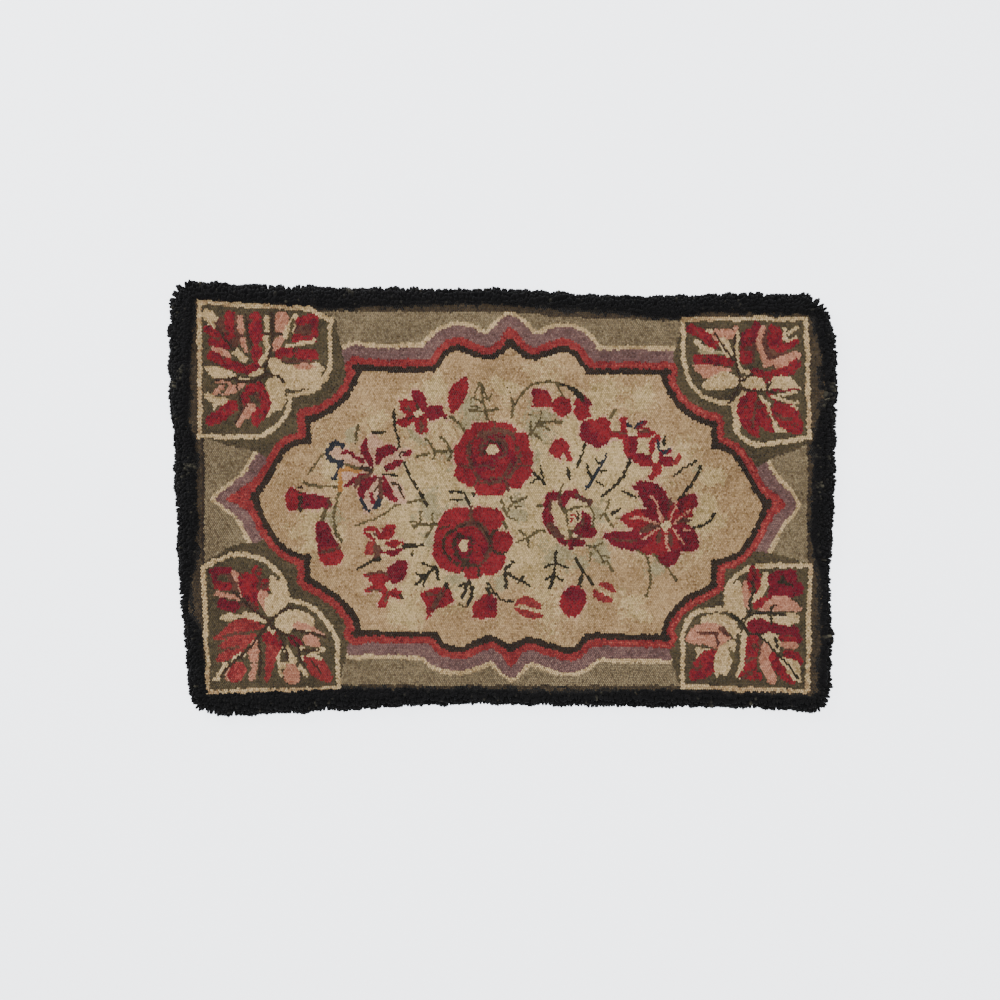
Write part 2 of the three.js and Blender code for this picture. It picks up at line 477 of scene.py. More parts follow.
hook("brown_edge", ~in_field)
foot_gap = line_distance(drawn_x, drawn_y, closed(SHAG_FOOT))
ragged = SOOT_WIDTH + 5 * uneven(tuft_x, tuft_y, 13, 9) + 3 * uneven(tuft_x, tuft_y, 4, 10)
hook("soot", ~in_field & (foot_gap < ragged))
on_left_line = np.abs(drawn_x - LEFT_LINE["x"]) < LEFT_LINE["half_width"]
hook("dark_line", on_left_line & (np.abs(drawn_y) < LEFT_LINE["half_length"]))
hook("cream", panel_gap < 0)
outer_line = outer_gap > -PANEL_LINE
mixed = uneven(tuft_x, tuft_y, 4, 14) + 0.7 * uneven(tuft_x, tuft_y, 30, 15)
hook("ground", outer_line & (mixed < TAN_BELOW))
hook("khaki", outer_line & (mixed > KHAKI_ABOVE))
hook("olive", panel_gap < -PANEL_LINE)

# %% [markdown]
# Leaves, petals and stems are all strokes of the hook: a line through a few points with a
# width, and a form that says how the width changes along it. A bar keeps its width, a leaf
# is pointed at both ends, a tail thins out to its tip, a drop or a funnel swells towards its
# end. A speckled stroke skips tufts, as where two yarns were hooked in turn.

# %% Strokes
STROKE_FORMS = {
    "bar": lambda share: np.ones_like(share),
    "leaf": lambda share: 0.25 + 0.75 * np.sin(math.pi * share),
    "tail": lambda share: 1 - 0.7 * share,
    "drop": lambda share: 0.35 + 0.65 * share,
    "funnel": lambda share: 0.6 + 0.4 * share,
    "speckled": lambda share: np.ones_like(share),
}
SPECKLE_LENGTH = 2.8
SPECKLE_SHARE = -0.45
NEAR_MARGIN = 12
CURVE_STEPS = 4


def stroke_cover(spots, points, width, form):
    """Which of the numbered tufts lie under a stroke."""
    line = curve_through(points, CURVE_STEPS) if len(points) > 2 else np.array(points, float)
    lengths = np.hypot(*np.diff(line, axis=0).T)
    total, passed = lengths.sum(), 0.0
    x, y = drawn_x[spots], drawn_y[spots]
    covered = np.zeros(len(spots), bool)
    for (ax, ay), (bx, by), length in zip(line, line[1:], lengths):
        dx, dy = (bx - ax) / max(length, 1e-6), (by - ay) / max(length, 1e-6)
        along = np.clip((x - ax) * dx + (y - ay) * dy, 0, length)
        gap = np.hypot(x - ax - along * dx, y - ay - along * dy)
        half = width / 2 * STROKE_FORMS[form]((passed + along) / total)
        covered |= gap < half
        passed += length
    if form == "speckled":
        covered &= uneven(x, y, SPECKLE_LENGTH, 11) > SPECKLE_SHARE
    return covered


def stroke(yarn, form, width, *points):
    """Hooks one stroke with a yarn."""
    corners = np.array(points, float)
    middle = (corners.min(axis=0) + corners.max(axis=0)) / 2
    reach = np.ptp(corners, axis=0).max() / 2 + width + NEAR_MARGIN
    spots = near(middle, reach)
    hook_near(yarn, spots, stroke_cover(spots, points, width, form))


def hook_strokes(rows):
    """Hooks a list of strokes in their order and says how many there are."""
    for row in rows:
        stroke(*row)
    return len(rows)


# %% [markdown]
# Each corner panel is filled with one branch of three broad leaves. The hooker used up short
# ends of wool there, so a leaf is a bundle of strips in reds, pinks and creams beside dark
# veins. Like all strokes they are in millimetres from the middle of the rug, and later strips
# cover earlier ones. The red of the panels is blotchy, with browner ends of wool in it.

# %% Leaves in the corner panels
UPPER_LEFT_LEAVES = [
    ("petal_brown", "bar", 30, (-430, 262), (-412, 246)),
    ("petal_brown", "bar", 26, (-308, 262), (-296, 256)),
    ("cream", "bar", 15, (-454, 281), (-444, 275)),
    ("cream", "tail", 6, (-449, 269), (-431, 252)),
    ("red", "bar", 12, (-452, 259), (-436, 250), (-420, 245)),
    ("red", "bar", 17, (-417, 279), (-413, 252)),
    ("red", "bar", 11, (-446, 240), (-420, 233)),
    ("salmon", "bar", 9, (-402, 278), (-400, 255)),
    ("salmon", "bar", 7, (-398, 243), (-392, 228)),
    ("petal_brown", "bar", 5, (-409, 280), (-407, 252), (-404, 238)),
    ("salmon", "bar", 8, (-444, 230), (-430, 225), (-418, 219)),
    ("red", "bar", 15, (-446, 220), (-430, 212), (-410, 203), (-392, 196), (-377, 200)),
    ("cream", "bar", 11, (-408, 225), (-402, 221), (-395, 214)),
    ("red", "bar", 20, (-379, 276), (-379, 246)),
    ("red", "bar", 17, (-377, 228), (-374, 214)),
    ("cream", "bar", 8, (-361, 276), (-362, 256), (-365, 245), (-360, 225), (-370, 208)),
    ("salmon", "bar", 21, (-339, 275), (-339, 260)),
    ("salmon", "leaf", 15, (-336, 247), (-344, 238), (-350, 228)),
    ("cream", "bar", 8, (-318, 278), (-329, 262), (-332, 246)),
    ("moss", "bar", 5, (-322, 272), (-326, 246)),
    ("cream", "bar", 4, (-318, 266), (-321, 253)),
    ("red", "bar", 14, (-311, 271), (-291, 277)),
    ("red", "bar", 11, (-288, 274), (-286, 248)),
    ("red", "bar", 12, (-317, 245), (-291, 243)),
    ("cream", "bar", 5, (-330, 233), (-310, 237), (-294, 239), (-288, 243)),
    ("red", "bar", 16, (-341, 222), (-320, 223), (-291, 220)),
    ("petal_brown", "bar", 4, (-338, 212), (-290, 209)),
    ("bark", "bar", 3, (-319, 229), (-319, 216)),
    ("cream", "bar", 38, (-332, 188), (-314, 184), (-296, 186)),
    ("cream", "bar", 20, (-348, 206), (-340, 190)),
    ("cream", "leaf", 20, (-302, 196), (-274, 200)),
    ("cream", "bar", 28, (-350, 170), (-346, 150)),
    ("cream", "tail", 20, (-349, 150), (-358, 126)),
    ("salmon", "leaf", 10, (-322, 203), (-288, 201)),
    ("cream", "leaf", 21, (-452, 200), (-434, 192), (-410, 189)),
    ("cream", "bar", 7, (-403, 183), (-392, 180)),
    ("cream", "bar", 8, (-385, 188), (-374, 192), (-364, 197)),
    ("salmon", "bar", 5, (-438, 178), (-418, 176)),
    ("salmon", "leaf", 13, (-428, 158), (-412, 168), (-396, 173)),
    ("salmon", "bar", 8, (-442, 158), (-430, 169)),
    ("cream", "bar", 12, (-450, 155), (-440, 149), (-425, 149)),
    ("cream", "bar", 6, (-441, 148), (-441, 138)),
    ("red", "bar", 17, (-447, 119), (-438, 122)),
    ("red", "bar", 20, (-428, 130), (-414, 140)),
    ("petal_brown", "bar", 34, (-386, 148), (-384, 140)),
    ("red", "bar", 14, (-396, 150), (-389, 165), (-376, 172), (-367, 160), (-363, 142), (-370, 124)),
    ("red", "bar", 14, (-378, 134), (-378, 116)),
    ("olive", "bar", 7, (-386, 155), (-374, 142)),
    ("salmon", "bar", 14, (-386, 138), (-394, 128)),
    ("salmon", "bar", 9, (-398, 127), (-405, 113)),
    ("bark", "bar", 4, (-404, 158), (-402, 134), (-409, 118)),
    ("bark", "bar", 5, (-353, 282), (-353, 240), (-358, 215), (-362, 192), (-345, 187), (-336, 179)),
    ("bark", "bar", 5.5, (-362, 189), (-374, 183), (-386, 178), (-406, 178), (-410, 184), (-437, 181)),
    ("bark", "bar", 4, (-406, 178), (-408, 167)),
    ("bark", "bar", 4, (-369, 254), (-335, 250)),
    ("bark", "bar", 4, (-392, 282), (-391, 250), (-384, 236)),
    ("bark", "bar", 3.5, (-438, 262), (-420, 238), (-410, 226)),
]
UPPER_RIGHT_LEAVES = [
    ("petal_brown", "bar", 40, (404, 236), (416, 222)),
    ("red", "bar", 15, (288, 258), (302, 252)),
    ("red", "leaf", 19, (296, 256), (314, 244), (328, 230)),
    ("cream", "bar", 7, (295, 240), (304, 232), (318, 228)),
    ("sage", "bar", 6, (302, 225), (318, 222), (334, 223)),
    ("red", "bar", 16, (298, 212), (322, 211), (346, 208)),
    ("salmon", "leaf", 21, (290, 203), (318, 192), (346, 196)),
    ("cream", "leaf", 24, (306, 173), (334, 178), (358, 180)),
    ("cream", "bar", 21, (338, 183), (350, 180)),
    ("cream", "bar", 7, (313, 256), (328, 250)),
    ("salmon", "bar", 16, (326, 250), (346, 252)),
    ("cream", "bar", 14, (335, 240), (345, 222)),
    ("salmon", "bar", 8, (356, 262), (352, 248)),
    ("bark", "bar", 3.5, (324, 252), (339, 229), (352, 211)),
    ("red", "bar", 21, (374, 248), (374, 214)),
    ("crimson", "bar", 13, (388, 263), (385, 244)),
    ("petal_brown", "bar", 5, (383, 236), (383, 208)),
    ("salmon", "bar", 9, (399, 260), (392, 240), (396, 222), (402, 208)),
    ("salmon", "bar", 8, (402, 204), (412, 210)),
    ("red", "bar", 22, (414, 255), (416, 238)),
    ("petal_brown", "bar", 5, (404, 256), (402, 232), (410, 217), (422, 215)),
    ("cream", "bar", 6, (430, 259), (430, 244)),
    ("cream", "bar", 5, (436, 252), (450, 262)),
    ("cream", "bar", 5, (432, 240), (448, 246)),
    ("red", "bar", 11, (422, 227), (436, 233), (448, 239)),
    ("salmon", "bar", 15, (422, 206), (436, 213), (447, 217)),
    ("red", "bar", 15, (448, 206), (436, 196), (416, 190), (398, 187), (386, 193)),
    ("red", "bar", 14, (398, 184), (408, 182)),
    ("cream", "bar", 6, (358, 254), (358, 232), (360, 210), (366, 196), (377, 194)),
    ("cream", "leaf", 22, (366, 181), (384, 175), (404, 166)),
    ("cream", "bar", 13, (374, 181), (392, 172)),
    ("cream", "leaf", 21, (402, 168), (426, 178), (454, 168)),
    ("crimson", "bar", 4, (414, 166), (434, 165), (452, 168)),
    ("cream", "bar", 4.5, (424, 158), (436, 161), (448, 164)),
    ("red", "bar", 7, (404, 160), (418, 152)),
    ("cream", "bar", 4.5, (412, 156), (424, 152), (440, 147), (450, 148)),
    ("crimson", "bar", 4, (416, 147), (444, 142)),
    ("cream", "bar", 4.5, (436, 141), (450, 138)),
    ("cream", "bar", 13, (372, 162), (362, 150)),
    ("cream", "bar", 8, (357, 146), (356, 128), (360, 112)),
    ("red", "leaf", 34, (382, 164), (374, 136), (388, 96)),
    ("red", "bar", 24, (378, 140), (384, 118)),
    ("red", "leaf", 26, (390, 148), (402, 124), (412, 102)),
    ("petal_brown", "bar", 4, (386, 150), (382, 110)),
    ("cream", "bar", 7, (394, 154), (406, 140), (414, 120), (416, 105), (430, 102)),
    ("red", "leaf", 38, (414, 138), (434, 124), (454, 102)),
    ("petal_brown", "bar", 5, (418, 130), (428, 122), (440, 120)),
    ("bark", "bar", 4, (355, 250), (353, 226), (358, 206), (363, 184), (358, 168), (352, 156), (347, 146)),
    ("bark", "bar", 4, (362, 170), (380, 164), (402, 164), (416, 162)),
    ("bark", "bar", 4, (403, 168), (411, 178)),
    ("bark", "bar", 3.5, (367, 180), (380, 190)),
]
LOWER_LEFT_LEAVES = [
    ("petal_brown", "bar", 30, (-424, -124), (-384, -130)),
    ("crimson", "bar", 11, (-446, -112), (-420, -110)),
    ("crimson", "bar", 9, (-443, -114), (-440, -128)),
    ("olive", "bar", 9, (-432, -122), (-424, -123)),
    ("red", "bar", 14, (-434, -134), (-420, -134)),
    ("salmon", "bar", 9, (-412, -114), (-404, -124), (-399, -146)),
    ("red", "bar", 26, (-392, -126), (-386, -146)),
    ("red", "bar", 12, (-377, -108), (-378, -124)),
    ("red", "bar", 17, (-362, -130), (-363, -135)),
    ("red", "tail", 24, (-386, -146), (-378, -168)),
    ("petal_brown", "bar", 4, (-373, -120), (-370, -146)),
    ("salmon", "bar", 8, (-438, -146), (-422, -148), (-406, -152)),
    ("crimson", "bar", 18, (-429, -162), (-412, -166)),
    ("petal_brown", "leaf", 12, (-404, -160), (-376, -167)),
    ("cream", "leaf", 12, (-433, -185), (-403, -181)),
    ("cream", "bar", 12, (-396, -181), (-380, -180)),
    ("cream", "tail", 9, (-374, -182), (-360, -190)),
    ("salmon", "bar", 19, (-366, -150), (-361, -160)),
    ("cream", "leaf", 26, (-355, -122), (-341, -148), (-352, -180)),
    ("cream", "bar", 24, (-352, -160), (-351, -168)),
    ("cream", "bar", 29, (-334, -186), (-318, -185), (-302, -190)),
    ("cream", "bar", 24, (-338, -194), (-332, -197)),
    ("salmon", "tail", 13, (-314, -195), (-294, -197), (-274, -208)),
    ("bark", "bar", 4, (-320, -201), (-300, -205), (-272, -210)),
    ("salmon", "bar", 18, (-296, -216), (-289, -218)),
    ("crimson", "leaf", 14, (-330, -211), (-307, -222)),
    ("cream", "bar", 6, (-310, -226), (-304, -231)),
    ("cream", "bar", 9, (-276, -230), (-292, -235)),
    ("cream", "bar", 6, (-312, -238), (-306, -245)),
    ("bark", "bar", 4, (-306, -231), (-284, -232)),
    ("brick", "leaf", 27, (-301, -243), (-284, -256), (-265, -278)),
    ("brick", "bar", 15, (-292, -250), (-280, -262)),
    ("cream", "bar", 4, (-297, -240), (-278, -244)),
    ("bark", "bar", 3, (-290, -250), (-278, -266)),
    ("cream", "bar", 6, (-310, -258), (-298, -269)),
    ("cream", "bar", 11, (-333, -228), (-319, -249)),
    ("cream", "bar", 10, (-334, -255), (-322, -257)),
    ("salmon", "bar", 23, (-323, -265), (-321, -273)),
    ("cream", "bar", 6, (-343, -234), (-342, -252), (-338, -270)),
    ("red", "bar", 25, (-356, -214), (-349, -221)),
    ("brick", "tail", 21, (-353, -234), (-362, -278)),
    ("cream", "bar", 8, (-357, -198), (-352, -205)),
    ("brick", "leaf", 23, (-366, -196), (-394, -194), (-438, -215)),
    ("brick", "leaf", 19, (-380, -209), (-404, -219), (-432, -226)),
    ("brick", "leaf", 17, (-396, -226), (-418, -238), (-438, -248)),
    ("petal_brown", "bar", 4, (-428, -212), (-410, -207), (-392, -204)),
    ("petal_brown", "bar", 4, (-434, -232), (-404, -226)),
    ("salmon", "leaf", 19, (-377, -214), (-382, -234), (-380, -252)),
    ("salmon", "bar", 10, (-380, -256), (-384, -277)),
    ("cream", "bar", 8, (-397, -237), (-411, -247)),
    ("cream", "bar", 8, (-424, -253), (-430, -264), (-439, -276)),
    ("salmon", "bar", 7, (-419, -260), (-421, -275)),
    ("brick", "bar", 24, (-404, -262), (-408, -269)),
    ("bark", "bar", 4.5, (-376, -213), (-398, -237), (-424, -262), (-430, -270)),
    ("bark", "bar", 4, (-374, -214), (-371, -240), (-373, -272)),
    ("bark", "bar", 3.5, (-330, -208), (-314, -224), (-310, -242), (-302, -256)),
    ("bark", "bar", 4, (-344, -204), (-336, -224), (-328, -246)),
    ("bark", "bar", 5, (-325, -166), (-340, -174), (-358, -190), (-368, -204), (-376, -214)),
    ("bark", "bar", 5, (-358, -192), (-344, -203), (-328, -210)),
    ("bark", "bar", 4, (-412, -142), (-402, -152), (-388, -168), (-372, -176), (-360, -186)),
]
LOWER_RIGHT_LEAVES = [
    ("cream", "leaf", 30, (358, -130), (354, -156), (366, -186)),
    ("cream", "bar", 20, (358, -148), (362, -168)),
    ("salmon", "bar", 12, (371, -133), (372, -150), (374, -164)),
    ("red", "leaf", 25, (382, -104), (384, -126), (384, -150)),
    ("red", "bar", 17, (382, -118), (386, -132)),
    ("bark", "bar", 5, (381, -128), (383, -144)),
    ("cream", "bar", 11, (402, -117), (400, -132), (391, -147), (386, -156)),
    ("red", "leaf", 13, (383, -169), (392, -160), (405, -153)),
    ("crimson", "bar", 26, (418, -124), (438, -121)),
    ("crimson", "bar", 24, (420, -141), (448, -138)),
    ("crimson", "bar", 14, (412, -147), (430, -151)),
    ("ink", "bar", 5, (424, -127), (440, -132)),
    ("ink", "bar", 4, (427, -120), (433, -131)),
    ("salmon", "leaf", 25, (394, -171), (424, -161), (454, -169)),
    ("cream", "bar", 7, (372, -194), (384, -181), (400, -180), (410, -186)),
    ("cream", "bar", 16, (420, -186), (446, -184)),
    ("cream", "tail", 11, (434, -190), (443, -200)),
    ("crimson", "bar", 22, (386, -194), (398, -195)),
    ("crimson", "bar", 17, (402, -200), (426, -203), (446, -204)),
    ("crimson", "bar", 12, (448, -208), (450, -217)),
    ("ink", "bar", 5, (367, -195), (380, -207), (408, -210), (443, -213)),
    ("cream", "bar", 22, (312, -189), (332, -187), (348, -196)),
    ("cream", "bar", 15, (348, -196), (357, -207)),
    ("salmon", "leaf", 36, (284, -214), (310, -207), (338, -208)),
    ("salmon", "bar", 22, (306, -213), (322, -217)),
    ("salmon", "leaf", 22, (318, -226), (346, -213)),
    ("petal_brown", "speckled", 5, (298, -206), (326, -208)),
    ("petal_brown", "bar", 8, (334, -200), (343, -209)),
    ("petal_brown", "speckled", 5, (325, -209), (331, -226)),
    ("cream", "bar", 7, (299, -232), (318, -234)),
    ("cream", "bar", 7, (298, -245), (304, -236)),
    ("red", "leaf", 34, (332, -236), (312, -252), (290, -274)),
    ("red", "bar", 21, (318, -248), (306, -258)),
    ("cream", "leaf", 28, (353, -220), (338, -246), (328, -270)),
    ("cream", "bar", 18, (342, -246), (337, -262)),
    ("moss", "speckled", 7, (348, -232), (354, -250)),
    ("olive", "bar", 4, (361, -208), (358, -232), (356, -268)),
    ("cream", "bar", 9, (370, -205), (368, -226), (366, -248), (360, -271)),
    ("red", "bar", 19, (382, -218), (379, -240), (378, -262)),
    ("red", "bar", 12, (365, -270), (392, -272)),
    ("petal_brown", "bar", 4, (392, -216), (393, -240)),
    ("salmon", "bar", 17, (402, -226), (400, -250), (411, -275)),
    ("cream", "leaf", 18, (397, -211), (411, -214), (421, -233)),
    ("red", "bar", 15, (414, -244), (424, -262), (441, -276)),
    ("red", "bar", 9, (424, -214), (444, -216)),
    ("salmon", "bar", 10, (429, -224), (446, -225)),
    ("red", "bar", 17, (436, -238), (450, -248)),
    ("cream", "leaf", 19, (425, -247), (438, -255), (453, -278)),
    ("cream", "leaf", 12, (440, -247), (455, -266)),
    ("ink", "bar", 3.5, (396, -213), (416, -236), (436, -256), (452, -274)),
    ("ink", "bar", 4, (416, -213), (420, -230)),
    ("ink", "bar", 4.5, (363, -188), (377, -180), (392, -174), (412, -177), (432, -179)),
    ("ink", "bar", 4, (418, -164), (412, -167), (411, -180), (412, -192)),
    ("ink", "bar", 6, (350, -178), (364, -190), (376, -204)),
    ("ink", "bar", 5, (377, -180), (378, -156), (384, -142)),
]
CRIMSON_ABOVE = 0.5
BROWN_BELOW = -0.75
panel_leaves = UPPER_LEFT_LEAVES + UPPER_RIGHT_LEAVES + LOWER_LEFT_LEAVES + LOWER_RIGHT_LEAVES
print("strips in the corner leaves:", hook_strokes(panel_leaves))
blotch = uneven(tuft_x, tuft_y, 7, 12) + 0.6 * uneven(tuft_x, tuft_y, 3.5, 13)
panel_red = (panel_gap < -PANEL_LINE) & (tuft_yarn == YARN_NAMES.index("red"))
hook("crimson", panel_red & (blotch > CRIMSON_ABOVE))
hook("petal_brown", panel_red & (blotch < BROWN_BELOW))

# %% [markdown]
# Inside the medallion the ground is a warm tan that pales to a greenish cream around the
# flowers, with patches of sage where another dye lot was used up. The change is soft, so each
# tuft is chosen by chance with odds that follow a smooth map.

# %% Ground of the medallion
GROUND_EDGE = -4.5
BOUQUET = {"x": 4, "y": -4, "across": 292, "up": 178}
PALE_ABOVE = 0.55
PATCH_GROWTH = 1.25
PATCH_RAGGED = 0.45
PATCH_MIX = 0.7
PATCHES_ABOVE = 0.42
PALE_PATCHES = [
    (306, -24, 34), (312, 34, 24), (-282, -52, 40), (-262, 40, 34), (-150, -176, 30), (-110, 168, 26),
    (200, -170, 26), (-200, 120, 22), (150, 160, 30), (205, 156, 26), (2, 168, 22),
]
SAGE_PATCHES = [
    (52, 120, 30), (-46, 128, 22), (-52, 148, 14), (140, -20, 18), (150, -84, 20), (84, -92, 22),
    (-112, -12, 26), (-60, -8, 16), (22, -6, 18), (-110, -60, 18), (-160, 60, 18), (-228, 96, 14),
    (-66, -118, 18), (-8, -130, 16), (20, -24, 20), (-260, -30, 16), (-128, 100, 16), (120, -104, 14),
    (296, 44, 12), (236, -106, 18), (-38, 104, 12), (-76, 60, 14), (44, 60, 12), (60, -72, 12),
]
in_ground = beyond < GROUND_EDGE
from_bouquet = np.hypot(
    (drawn_x - BOUQUET["x"]) / BOUQUET["across"], (drawn_y - BOUQUET["y"]) / BOUQUET["up"]
)
dice = chance.uniform(0, 1, len(tuft_x))
paleness = 1.25 - from_bouquet + 0.55 * uneven(drawn_x, drawn_y, 70, 5)
hook("ground", in_ground)
hook("pale", in_ground & (paleness + 0.5 * (dice - 0.5) > PALE_ABOVE))


def hook_patches(yarn, patches):
    """Hooks ragged patches of a yarn, each a middle and a reach."""
    for x, y, reach in patches:
        spots = near((x, y), 1.6 * reach)
        ragged = 1 + PATCH_RAGGED * uneven(drawn_x[spots], drawn_y[spots], 14, 6)
        depth = PATCH_GROWTH * ragged - np.hypot(drawn_x[spots] - x, drawn_y[spots] - y) / reach
        depth += PATCH_MIX * (dice[spots] - 0.5)
        hook_near(yarn, spots, (beyond[spots] < -5) & (depth > PATCHES_ABOVE))


hook_patches("pale", PALE_PATCHES)
hook_patches("sage", SAGE_PATCHES)

# %% [markdown]
# The sprigs are hooked before the flowers, which cover their lower ends. Each is a dark or
# moss green stem with a few short twigs, listed as strokes in millimetres from the middle.

# %% Stems and sprigs
SPRIGS = [
    ("moss", "bar", 4, (12, 125), (16, 142), (34, 167), (54, 177), (74, 179), (93, 175)),
    ("ink", "drop", 8, (90, 176), (104, 168), (117, 154)),
    ("moss", "tail", 4, (16, 144), (6, 167)),
    ("moss", "bar", 3.5, (85, 175), (92, 157)),
    ("moss", "tail", 6, (-24, 122), (-30, 145), (-34, 177)),
    ("moss", "bar", 3.5, (-53, 136), (-30, 134), (-7, 137)),
    ("moss", "bar", 3.5, (-47, 153), (-33, 149)),
    ("moss", "bar", 3.5, (-24, 152), (-17, 158)),
    ("moss", "bar", 3.5, (-50, 141), (-35, 139)),
    ("moss", "bar", 3.5, (-35, 177), (-42, 162), (-49, 152)),
    ("moss", "bar", 3.5, (-34, 177), (-28, 162), (-22, 150)),
    ("moss", "bar", 4.5, (39, 95), (48, 106), (57, 116), (59, 131)),
    ("moss", "bar", 4, (90, 117), (73, 118), (58, 113)),
    ("moss", "bar", 4, (58, 111), (72, 105)),
    ("moss", "bar", 3.5, (42, 118), (42, 99)),
    ("moss", "bar", 4, (38, 128), (42, 129)),
    ("moss", "bar", 3.5, (46, 100), (61, 90)),
    ("ink", "bar", 4.5, (42, 42), (64, 21)),
    ("ink", "bar", 3.5, (55, 49), (61, 32)),
    ("ink", "bar", 3.5, (43, 24), (54, 29)),
    ("ink", "leaf", 7, (98, 48), (103, 30)),
    ("ink", "bar", 4.5, (126, 86), (122, 68), (114, 49)),
    ("moss", "bar", 4.5, (90, 22), (88, 4), (88, -20)),
    ("ink", "bar", 3.5, (128, 51), (135, 31)),
    ("navy", "bar", 4.5, (160, 68), (148, 49), (136, 28), (126, 14)),
    ("ink", "bar", 3.5, (140, 58), (148, 50)),
    ("ink", "bar", 3.5, (159, 43), (149, 43)),
    ("ink", "bar", 3.5, (142, 26), (154, 21)),
    ("ink", "bar", 4.5, (195, 64), (188, 43), (172, 22), (150, 3)),
    ("moss", "bar", 3.5, (174, 136), (164, 124)),
    ("ink", "bar", 3.5, (296, 58), (276, 47), (262, 36)),
    ("ink", "bar", 4.5, (303, 50), (293, 30), (269, -2)),
    ("ink", "bar", 3.5, (184, 10), (202, 2), (210, 2)),
    ("ink", "bar", 4, (322, -25), (316, -35), (288, -48)),
    ("moss", "bar", 3.5, (162, -4), (156, -22), (149, -30)),
    ("moss", "bar", 3.5, (158, -26), (169, -42)),
    ("ink", "bar", 5, (168, -22), (179, -16)),
    ("moss", "bar", 3.5, (174, -28), (184, -30)),
    ("moss", "bar", 3.5, (152, -69), (139, -77), (150, -89), (152, -98), (158, -96), (168, -112)),
    ("moss", "bar", 3.5, (128, -73), (139, -77)),
    ("moss", "bar", 3.5, (134, -84), (132, -98)),
    ("moss", "bar", 3.5, (153, -88), (162, -91)),
    ("moss", "bar", 4.5, (207, -80), (216, -86), (223, -103), (223, -132), (218, -148)),
    ("moss", "bar", 4.5, (224, -78), (240, -96), (254, -110), (264, -126)),
    ("moss", "bar", 4, (13, 3), (17, -6), (37, 2)),
    ("moss", "bar", 3.5, (16, -7), (8, -18), (4, -28), (18, -33)),
    ("moss", "bar", 3.5, (-2, -4), (4, -26)),
    ("moss", "bar", 3.5, (20, -14), (28, -12)),
    ("moss", "bar", 3.5, (51, -10), (64, -12)),
    ("moss", "bar", 3.5, (64, -49), (50, -50), (39, -60), (21, -67)),
    ("moss", "bar", 3.5, (24, -49), (38, -59)),
    ("moss", "bar", 3.5, (39, -60), (39, -73)),
    ("ink", "bar", 5, (81, -82), (80, -105), (77, -122), (70, -138)),
    ("ink", "bar", 4, (64, -106), (77, -101)),
    ("ink", "bar", 4, (81, -98), (98, -107)),
    ("ink", "bar", 4, (66, -124), (77, -119)),
    ("ink", "bar", 4, (81, -120), (90, -126)),
    ("ink", "bar", 5, (110, -93), (119, -112), (117, -136)),
    ("ink", "bar", 4.5, (122, -113), (138, -131)),
    ("ink", "bar", 5, (15, -98), (2, -110), (5, -136)),
    ("ink", "bar", 5, (6, -114), (24, -123), (40, -133)),
    ("ink", "bar", 4, (32, -118), (24, -131)),
    ("ink", "bar", 4, (-22, -130), (-7, -152), (14, -160)),
    ("ink", "bar", 5, (-52, -128), (-64, -152)),
    ("ink", "bar", 4, (-53, -130), (-66, -135)),
    ("ink", "bar", 4.5, (-52, -130), (-48, -146), (-55, -163)),
    ("ink", "bar", 4, (-50, -136), (-44, -140)),
    ("ink", "bar", 5, (-102, -104), (-112, -115), (-132, -130)),
    ("ink", "bar", 4.5, (-122, -100), (-107, -105)),
    ("ink", "bar", 4.5, (-103, -106), (-99, -125)),
    ("ink", "bar", 4, (-132, -115), (-120, -122), (-120, -134)),
    ("moss", "bar", 4, (-94, -39), (-137, -40)),
    ("moss", "bar", 3.5, (-126, -20), (-126, -38), (-136, -45)),
    ("moss", "bar", 3.5, (-108, -23), (-108, -39), (-119, -58)),
    ("moss", "bar", 3.5, (-142, -33), (-134, -34)),
    ("ink", "bar", 4.5, (-82, 10), (-63, 9), (-52, -9)),
    ("ink", "bar", 4, (-80, -2), (-63, -2)),
    ("ink", "bar", 4, (-47, 8), (-44, 3)),
    ("moss", "bar", 4.5, (-72, 73), (-104, 71)),
    ("moss", "bar", 4.5, (-118, 91), (-104, 72), (-108, 60)),
    ("moss", "bar", 4.5, (-130, 65), (-113, 69)),
    ("moss", "bar", 4, (-94, 93), (-85, 85), (-81, 73)),
    ("moss", "bar", 4, (-77, 71), (-83, 60)),
    ("moss", "bar", 4, (-80, 126), (-70, 117), (-60, 104)),
    ("moss", "bar", 3.5, (-52, 135), (-36, 134)),
    ("ink", "bar", 4, (-169, 136), (-166, 112), (-161, 86), (-160, 78), (-170, 75)),
    ("ink", "bar", 4, (-153, 60), (-141, 33), (-130, 14)),
    ("ink", "bar", 5.5, (-127, 10), (-117, -10)),
    ("moss", "bar", 3.5, (-122, -2), (-161, -10), (-184, -25), (-226, -41)),
    ("moss", "bar", 3.5, (-222, 114), (-225, 85)),
    ("moss", "bar", 3.5, (-275, 66), (-299, 38)),
    ("moss", "bar", 5, (-305, 25), (-285, 18), (-252, 18)),
    ("moss", "bar", 5, (-250, 9), (-259, -19), (-256, -47), (-247, -65)),
    ("ink", "bar", 5.5, (-181, 101), (-197, 101)),
    ("ink", "bar", 3, (-197, 98), (-206, 88)),
    ("moss", "bar", 4, (-271, -14), (-277, -36)),
    ("ink", "tail", 6, (-148, -71), (-122, -73)),
    ("moss", "bar", 3, (-140, -82), (-138, -86)),
    ("moss", "bar", 3.5, (-68, -162), (-58, -168)),
]
print("strokes in the stems and sprigs:", hook_strokes(SPRIGS))

# %% [markdown]
# The flowers are common garden kinds, hooked as a hooker would: broad strokes for the petals
# first, then folds in brown, light veins and last a cream heart. Each flower is a list of
# strokes, which later ones cover. The two roses have rounded outer petals around a crimson
# heart, and speckled brown rings show the folds inside.

